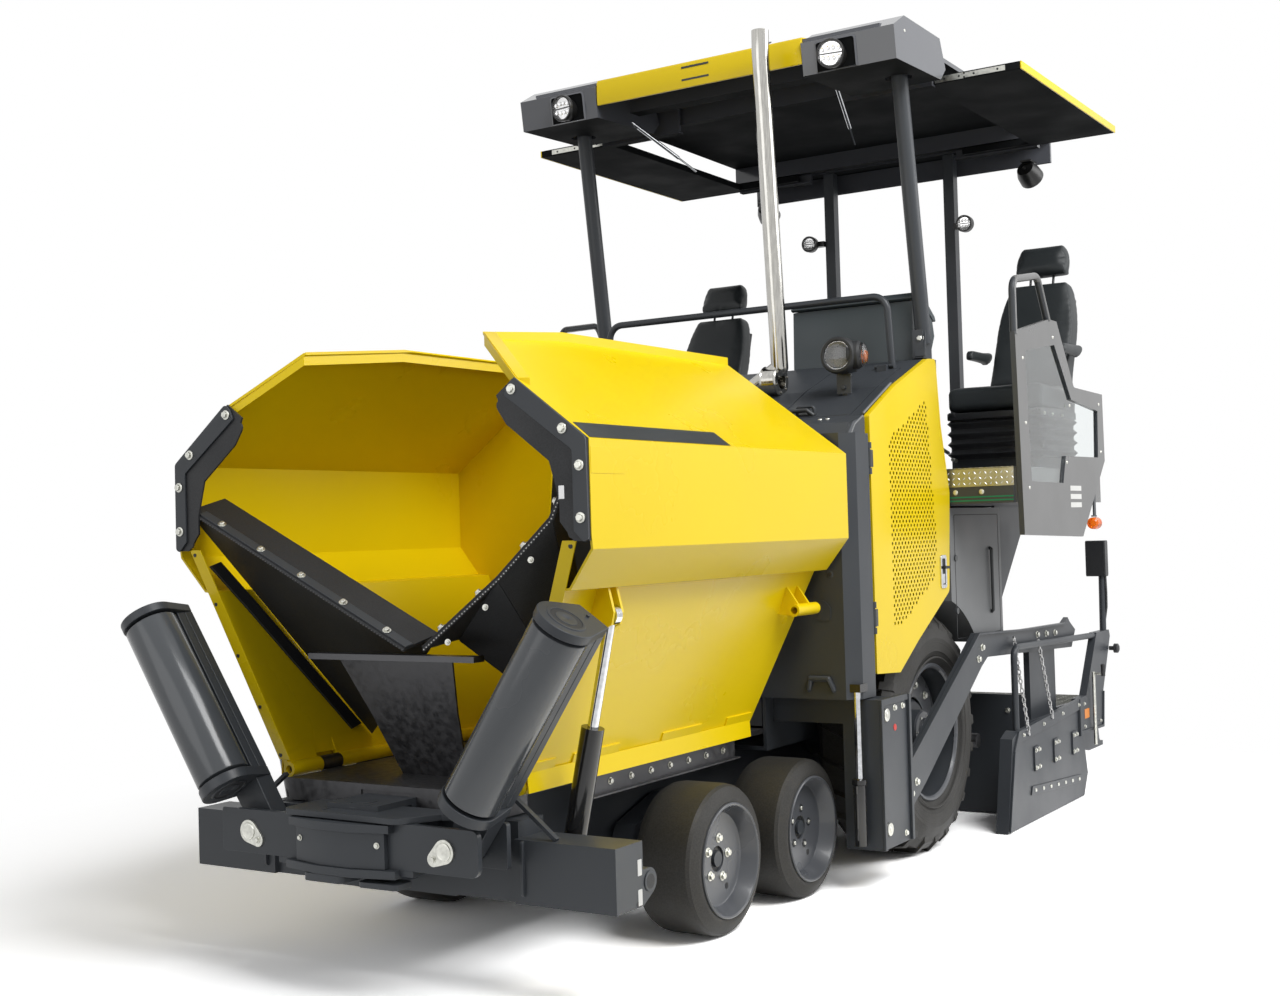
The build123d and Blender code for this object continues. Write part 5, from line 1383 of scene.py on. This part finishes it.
def steering_wheel():
    """Rim, hub, column and three spokes."""
    axis = unit(WHEEL_AXIS)
    a, b, c = WHEEL_REACH
    rim = [WHEEL + Vector((math.cos(t) * a, math.sin(t) * b, math.sin(t) * c)) for t in turns(40)]
    rings = [hoop(point, (point - WHEEL).normalized(), axis, WHEEL_RIM, 10) for point in rim]
    wheel = Form().skin(rings, joined=True)
    wheel.rod(WHEEL, (500, 3240, 2330), 20, 16)
    for k in (2, 15, 29):
        wheel.rod(WHEEL, rim[k], 9, 10)
    wheel.disc(WHEEL, axis, [(-8, 40), (10, 38), (16, 24)], 24)
    piece("steering_wheel", wheel, "chassis", "black_vinyl", 1)


both_sides(seat_pads, seat_frame, seat_base, guard, tray)
console()
steering_wheel()


# Rear wheels, tow points and screed

REAR_HUB = (2970, 535)
REAR_DISC = 752
TOW_S, RAIL_X, RAIL_Z = 2108, 960, (165, 765)
ARM_FACE = 936


def rear_wheel(name, side):
    """Rings and nuts of the rim, and the raised rings on the tyre's wall."""
    body = f"rear_wheel_{name}"
    hub, out = (0, *REAR_HUB), (1, 0, 0)
    rim = Form(side)
    rim.turn(hub, out, [(832, 288), (832, 300), (840, 306), (848, 300), (846, 290), (836, 282)], 72)
    rim.turn(hub, out, [(741, 150), (741, 262), (746, 270), (REAR_DISC, 262), (750, 150)], 60)
    rim.disc(hub, out, [(790, 92), (806, 90), (810, 60), (818, 58), (822, 48)], 40)
    piece(f"{body}_rings", rim, body, "rim_paint", 1.5)
    nuts = Form(side)
    nuts.bolts([(REAR_DISC, *p) for p in round_spots(*REAR_HUB, 205, 10, 9)], out, 13)
    nuts.bolts([(808, *p) for p in round_spots(*REAR_HUB, 72, 6)], out, 6, False)
    nuts.rod((REAR_DISC, 3232, 560), (800, 3220, 560), 4, 10)
    piece(f"{body}_nuts", nuts, body, "zinc", 1)
    wall = Form(side)
    for radius in (330, 360, 398):
        bead = ((864, -5), (866.5, -2), (866.5, 2), (864, 5))
        wall.turn(hub, out, [(a, radius + r) for a, r in bead], 96)
    piece(f"{body}_wall_rings", wall, body, "tyre", 0)


def tow_cylinder(name, side):
    """The levelling cylinder in front of the tow rail."""
    rod = Form(side).rod((885, TOW_S, 438), (885, TOW_S, 802), 15, 24)
    piece(f"tow_cylinder_{name}_rod", rod, "chassis", "chrome", 0)
    barrel = Form(side)
    barrel.disc((885, TOW_S, 190), (0, 0, 1), [(0, 26), (240, 26), (243, 31), (262, 31), (266, 22)], 32)
    barrel.pipe([(885, 2078, 215), (885, 2068, 260), (885, 2068, 400), (885, 2080, 430)], 5, 14, 8)
    barrel.box((860, 912), (2082, 2152), (800, 832))
    piece(f"tow_cylinder_{name}_barrel", barrel, "chassis", "black_gloss", 1.5)


def tow_rail(name, side):
    """Edges, guide rollers and a red mark on the tow rail."""
    rail, out = Form(side), (1, 0, 0)
    rail.box((960.2, 972), (2150, 2172), RAIL_Z)
    rail.box((960.2, 972), (2424, 2446), RAIL_Z)
    rail.box((960.2, 968), (2172, 2424), (740, 765))
    piece(f"tow_rail_{name}_edges", rail, "chassis", "grey_paint", 2)
    rollers = Form(side)
    for z in (243, 700):
        rollers.disc((RAIL_X, 2209, z), out, [(0, 26), (9, 26), (11, 22), (11, 12), (14, 11)], 28)
    rollers.bolts([(RAIL_X, s, z) for s, z in ((2380, 200), (2380, 720), (2300, 720))], out, 9)
    piece(f"tow_rail_{name}_rollers", rollers, "chassis", "zinc", 1)
    dot = Form(side).disc((RAIL_X, 2300, 640), out, [(0, 14), (2, 13)], 20)
    piece(f"tow_rail_{name}_dot", dot, "chassis", "red_plastic", 0)


def tow_arm(name, side):
    """Bolts, the eye's cap and the stiffening rib of a tow arm."""
    arms, out = Form(side), (1, 0, 0)
    spots = ((4160, 885), (4300, 880), (4440, 875), (3380, 880), (3330, 830), (2500, 340), (2560, 380))
    arms.bolts([(ARM_FACE, s, z) for s, z in spots], out, 12)
    arms.disc((ARM_FACE + 1, 2330, 300), out, [(0, 34), (4, 33), (5, 20), (9, 18)], 28)
    piece(f"tow_arm_{name}_bolts", arms, "screed", "zinc", 1)
    line = ((2420, 455), (3305, 952), (3960, 928), (4600, 918))
    ribs = Form(side).ribbon(*[[(x, s, z) for s, z in line] for x in (ARM_FACE, ARM_FACE + 20)], (0, 0, -10))
    piece(f"tow_arm_{name}_rib", ribs, "screed", "grey_paint", 2)


def chain(form, start, end, link=30, wire=4):
    """A chain of oval links between two points, every other link turned."""
    start, end = Vector(start), Vector(end)
    along = (end - start).normalized()
    across = along.orthogonal().normalized()
    other = along.cross(across)
    count = int((end - start).length / (link * 0.72))
    for k in range(count):
        middle = start + along * (k + 0.5) * (end - start).length / count
        wide, deep = (across, other) if k % 2 else (other, across)
        rings = []
        for a in turns(12):
            out = along * math.cos(a) * link * 0.42 + wide * math.sin(a) * link * 0.26
            rings.append(hoop(middle + out, out.normalized(), deep, wire, 6))
        form.skin(rings, joined=True)


END_FACE = 1000.2
SMALL_PLATES = (3900, 4200, 4500)


def end_plates(name, side):
    """Stiffeners and bolted plates on the outside of the end gate."""
    plates = Form(side)
    for outline, face in (
            ([(3578, 375), (3645, 461), (4606, 516), (4606, 462), (3668, 408), (3612, 372)], 1010),
            ([(3820, 175), (4596, 123), (4640, 80), (3800, 134)], 1006),
            ([(3480, 10), (3520, 10), (3618, 372), (3578, 375)], 1010),
            (rectangle((4585, 4606), (322, 516)), 1014),
            ([(4606, 330), (5026, 321), (5050, 515), (5038, 515), (5014, 335), (4606, 345)], 1008)):
        plates.plate(outline, END_FACE, face, "x")
    for s in SMALL_PLATES:
        plates.plate(rectangle((s - 40, s + 40), (240, 360), 10), END_FACE, 1008, "x")
    piece(f"screed_{name}_plates", plates, "screed", "grey_paint", 2)
    tag = Form(side).plate(rectangle((4700, 4780), (400, 450)), END_FACE, 1001, "x")
    piece(f"screed_{name}_tag", tag, "screed", "amber_plastic", 0)


def end_bolts(name, side):
    """Studs along the end gate's foot, its bolts, and the crank of its spindle."""
    steel, out = Form(side), (1, 0, 0)
    for s in range(3860, 4551, 115):
        steel.disc((1006, s, 154 - (s - 3820) * 0.067), out, [(0, 10), (4, 9), (6, 4)], 16)
    corners = ((-24, -42), (24, -42), (-24, 42), (24, 42))
    steel.bolts([(1008, s + ds, 300 + dz) for s in SMALL_PLATES for ds, dz in corners], out, 8)
    for s, z in ((3700, 438), (4000, 456), (4300, 474), (4570, 488), (4700, 360), (4980, 360), (4700, 480)):
        steel.bolt((1010 if s < 4600 else 1000, s, z), out, 7)
    steel.rod((1018, 4820, 250), (1018, 4820, 640), 9, 16)
    steel.rod((1018, 4820, 630), (1070, 4820, 630), 7, 12)
    piece(f"screed_{name}_bolts", steel, "screed", "zinc", 1)
    links = Form(side)
    chain(links, (1016, 4120, 470), (955, 4120, 860))
    chain(links, (1016, 3760, 430), (955, 3760, 900))
    piece(f"screed_{name}_chains", links, "screed", "steel", 0)


def screed_controls(name, side):
    """The rear light, the crank's grip and the control box on its bent pipe."""
    dark = Form(side)
    dark.disc((1000, 5190, 738), (1, 0, 0), [(0, 12), (24, 12), (28, 26), (48, 26), (54, 16)], 24)
    dark.disc((1070, 4820, 618), (0, 0, 1), [(0, 11), (60, 12), (64, 8)], 18)
    dark.plate(rectangle((5128, 5136), (1142, 1338), 3), 904, 1006, "x")
    dark.plate(rectangle((5136, 5190), (1140, 1340), 14), 900, 1010, "x")
    for x in (925, 955, 985):
        dark.disc((x, 5190, 1290), (0, 1, 0), [(0, 11), (10, 10)], 16)
        dark.rod((x, 5190, 1230), (x, 5212, 1238), 5, 10)
    dark.pipe([(990, 5160, 900), (1030, 5150, 960), (1030, 5150, 1060), (1000, 5160, 1142)], 7, 30, 10)
    piece(f"screed_{name}_controls", dark, "screed", "dark_plastic", 2)


GRATING_HALF = 870


def steps():
    """The gratings on the two steps, and the bolts along the screed's back."""
    grating = Form()
    for first, last, z in ((4665, 5270, 455), (5140, 5390, 195)):
        count = int((last - first) / 42)
        for k in range(count + 1):
            s = first + (last - first) * k / count
            grating.box((-GRATING_HALF, GRATING_HALF), (s - 2, s + 2), (z, z + 7))
        for k in range(29):
            x = -860 + k * 61.4
            grating.box((x - 2, x + 2), (first, last), (z, z + 5))
    piece("step_grating", grating, "screed", "zinc", 0)
    heads = Form()
    for x in range(-840, 841, 240):
        heads.bolt((x, 4600, 400), (0, 1, 0), 9)
        heads.bolt((x, 3965, 520), (0, -1, 0), 9)
    piece("screed_bolts", heads, "screed", "zinc", 1)


CABINET_FACE = 890


def side_trim(name, side):
    """The slotted rail under a wing's hinge, the cabinet's handle and latches, and a dark line painted as the
    shade in its door's seam.
    """
    rail = Form(side).box((486, 494), (700, 1800), (560, 640)).box((486, 520), (700, 1800), (560, 566))
    piece(f"bed_rail_{name}", rail, "chassis", "iron", 1.5)
    bolts = Form(side).bolts([(494, 780 + k * 132, 600) for k in range(8)], (1, 0, 0), 9)
    piece(f"bed_rail_{name}_bolts", bolts, "chassis", "zinc", 1)
    handles = Form(side)
    grip = ((CABINET_FACE, 1340), (912, 1340), (912, 1030), (CABINET_FACE, 1030))
    handles.pipe([(x, 3640, z) for x, z in grip], 8, 14, 10)
    for z in (1060, 1300):
        handles.disc((CABINET_FACE, 3200, z), (1, 0, 0), [(0, 16), (6, 15)], 20)
    piece(f"cabinet_{name}_handles", handles, "chassis", "black_vinyl", 1)
    # Painted shade: a dark line round the cabinet's door, in its seam
    outer, inner = rectangle((3195, 3770), (930, 1500), 12), rectangle((3199, 3766), (934, 1496), 9)
    seam = Form(side).window(outer, inner, CABINET_FACE + 0.2, CABINET_FACE + 1, "x")
    piece(f"cabinet_{name}_seam", seam, "chassis", "rubber", 0)


both_sides(rear_wheel, tow_cylinder, tow_rail, tow_arm, end_plates, end_bolts, screed_controls)
steps()
both_sides(side_trim)


# Stage, light and camera


def make_stage():
    """A floor that is white round about and keeps the machine's shadow near it."""
    mesh = bpy.data.meshes.new("floor")
    corners = [(x, y, 0) for x, y in ((-60, -60), (60, -60), (60, 60), (-60, 60))]
    mesh.from_pydata(corners, [], [(0, 1, 2, 3)])
    floor = bpy.data.objects.new("floor", mesh)
    bpy.context.scene.collection.objects.link(floor)
    paint = Paint("floor", (0.42, 0.42, 0.42), 0.9)
    paint.bump(paint.noise(40, 3), 0.05, 0.1)
    lit = paint.node("ShaderNodeBsdfDiffuse")
    lit.inputs["Color"].default_value = (1.75, 1.75, 1.75, 1)
    white = paint.node("ShaderNodeEmission")
    distance = paint.node("ShaderNodeVectorMath", operation="LENGTH")
    paint.wire(paint.place, distance.inputs[0])
    away = paint.spread(distance.outputs["Value"], 0, 1, 2.6, 4.1)
    shown = paint.node("ShaderNodeMixShader")
    paint.wire(away, shown.inputs["Fac"])
    paint.wire(lit.outputs["BSDF"], shown.inputs[1])
    paint.wire(white.outputs["Emission"], shown.inputs[2])
    seen = paint.node("ShaderNodeMixShader")
    paint.wire(looked_at(paint), seen.inputs["Fac"])
    paint.wire(paint.shader.outputs["BSDF"], seen.inputs[1])
    paint.wire(shown.outputs["Shader"], seen.inputs[2])
    paint.wire(seen.outputs["Shader"], paint.tree.nodes["Material Output"].inputs["Surface"])
    mesh.materials.append(paint.material)


def looked_at(paint):
    """1 for rays from the camera, in reflections and through glass, where the backdrop shows as white."""
    rays = paint.node("ShaderNodeLightPath")
    either = paint.node("ShaderNodeMath", operation="MAXIMUM")
    paint.wire(rays.outputs["Is Camera Ray"], either.inputs[0])
    paint.wire(rays.outputs["Is Transmission Ray"], either.inputs[1])
    any_of = paint.node("ShaderNodeMath", operation="MAXIMUM")
    paint.wire(either.outputs["Value"], any_of.inputs[0])
    paint.wire(rays.outputs["Is Glossy Ray"], any_of.inputs[1])
    return any_of.outputs["Value"]


class Sky:
    """The world's node tree, with the same helpers as a material's."""

    def __init__(self):
        world = bpy.data.worlds.new("sky")
        bpy.context.scene.world = world
        world.use_nodes = True
        self.tree = world.node_tree

    node = Paint.node
    wire = Paint.wire


def make_world():
    """An even sky that lights plainly, and shows white to the camera and in reflections."""
    sky = Sky()
    light = sky.tree.nodes["Background"]
    light.inputs["Color"].default_value = (1, 1, 1, 1)
    light.inputs["Strength"].default_value = 0.33
    white = sky.node("ShaderNodeBackground")
    white.inputs["Color"].default_value = (1, 1, 1, 1)
    white.inputs["Strength"].default_value = 1.0
    mix = sky.node("ShaderNodeMixShader")
    sky.wire(looked_at(sky), mix.inputs["Fac"])
    sky.wire(light.outputs["Background"], mix.inputs[1])
    sky.wire(white.outputs["Background"], mix.inputs[2])
    sky.wire(mix.outputs["Shader"], sky.tree.nodes["World Output"].inputs["Surface"])


def soft_light(name, place, aim, size, power):
    """A large lamp that faces a point."""
    lamp = bpy.data.lights.new(name, "AREA")
    lamp.shape = "RECTANGLE"
    lamp.size, lamp.size_y = size
    lamp.energy = power
    holder = bpy.data.objects.new(name, lamp)
    holder.location = place
    holder.rotation_euler = (Vector(aim) - Vector(place)).to_track_quat("-Z", "Y").to_euler()
    bpy.context.scene.collection.objects.link(holder)


def make_lights():
    """A high light and a lower one over the machine's left, and a weak one in front."""
    soft_light("key", (6.0, -2.4, 7.6), (0, 0, 1.2), (5, 4), 640)
    soft_light("side", (7.0, 3.5, 4.6), (0, 0.5, 1.3), (6, 4), 240)
    soft_light("front", (-1.5, -8.5, 3.0), (0, 0, 1.0), (5, 4), 70)


def make_camera():
    """The photograph's camera."""
    yaw, pitch, roll = (math.radians(a) for a in (CAMERA_YAW, CAMERA_PITCH, CAMERA_ROLL))
    ahead = Vector((-math.sin(yaw) * math.cos(pitch), math.cos(yaw) * math.cos(pitch), math.sin(pitch)))
    right = Vector((math.cos(yaw), math.sin(yaw), 0))
    up = right.cross(ahead)
    right, up = (math.cos(roll) * right + math.sin(roll) * up, math.cos(roll) * up - math.sin(roll) * right)
    data = bpy.data.cameras.new("camera")
    data.lens = CAMERA_LENS
    data.sensor_width = SENSOR
    camera = bpy.data.objects.new("camera", data)
    turn = Matrix((right, up, -ahead)).transposed()
    camera.matrix_world = Matrix.Translation(CAMERA_AT) @ turn.to_4x4()
    bpy.context.scene.collection.objects.link(camera)
    bpy.context.scene.camera = camera


make_stage()
make_world()
make_lights()
make_camera()
bpy.context.scene.view_settings.view_transform = "Standard"
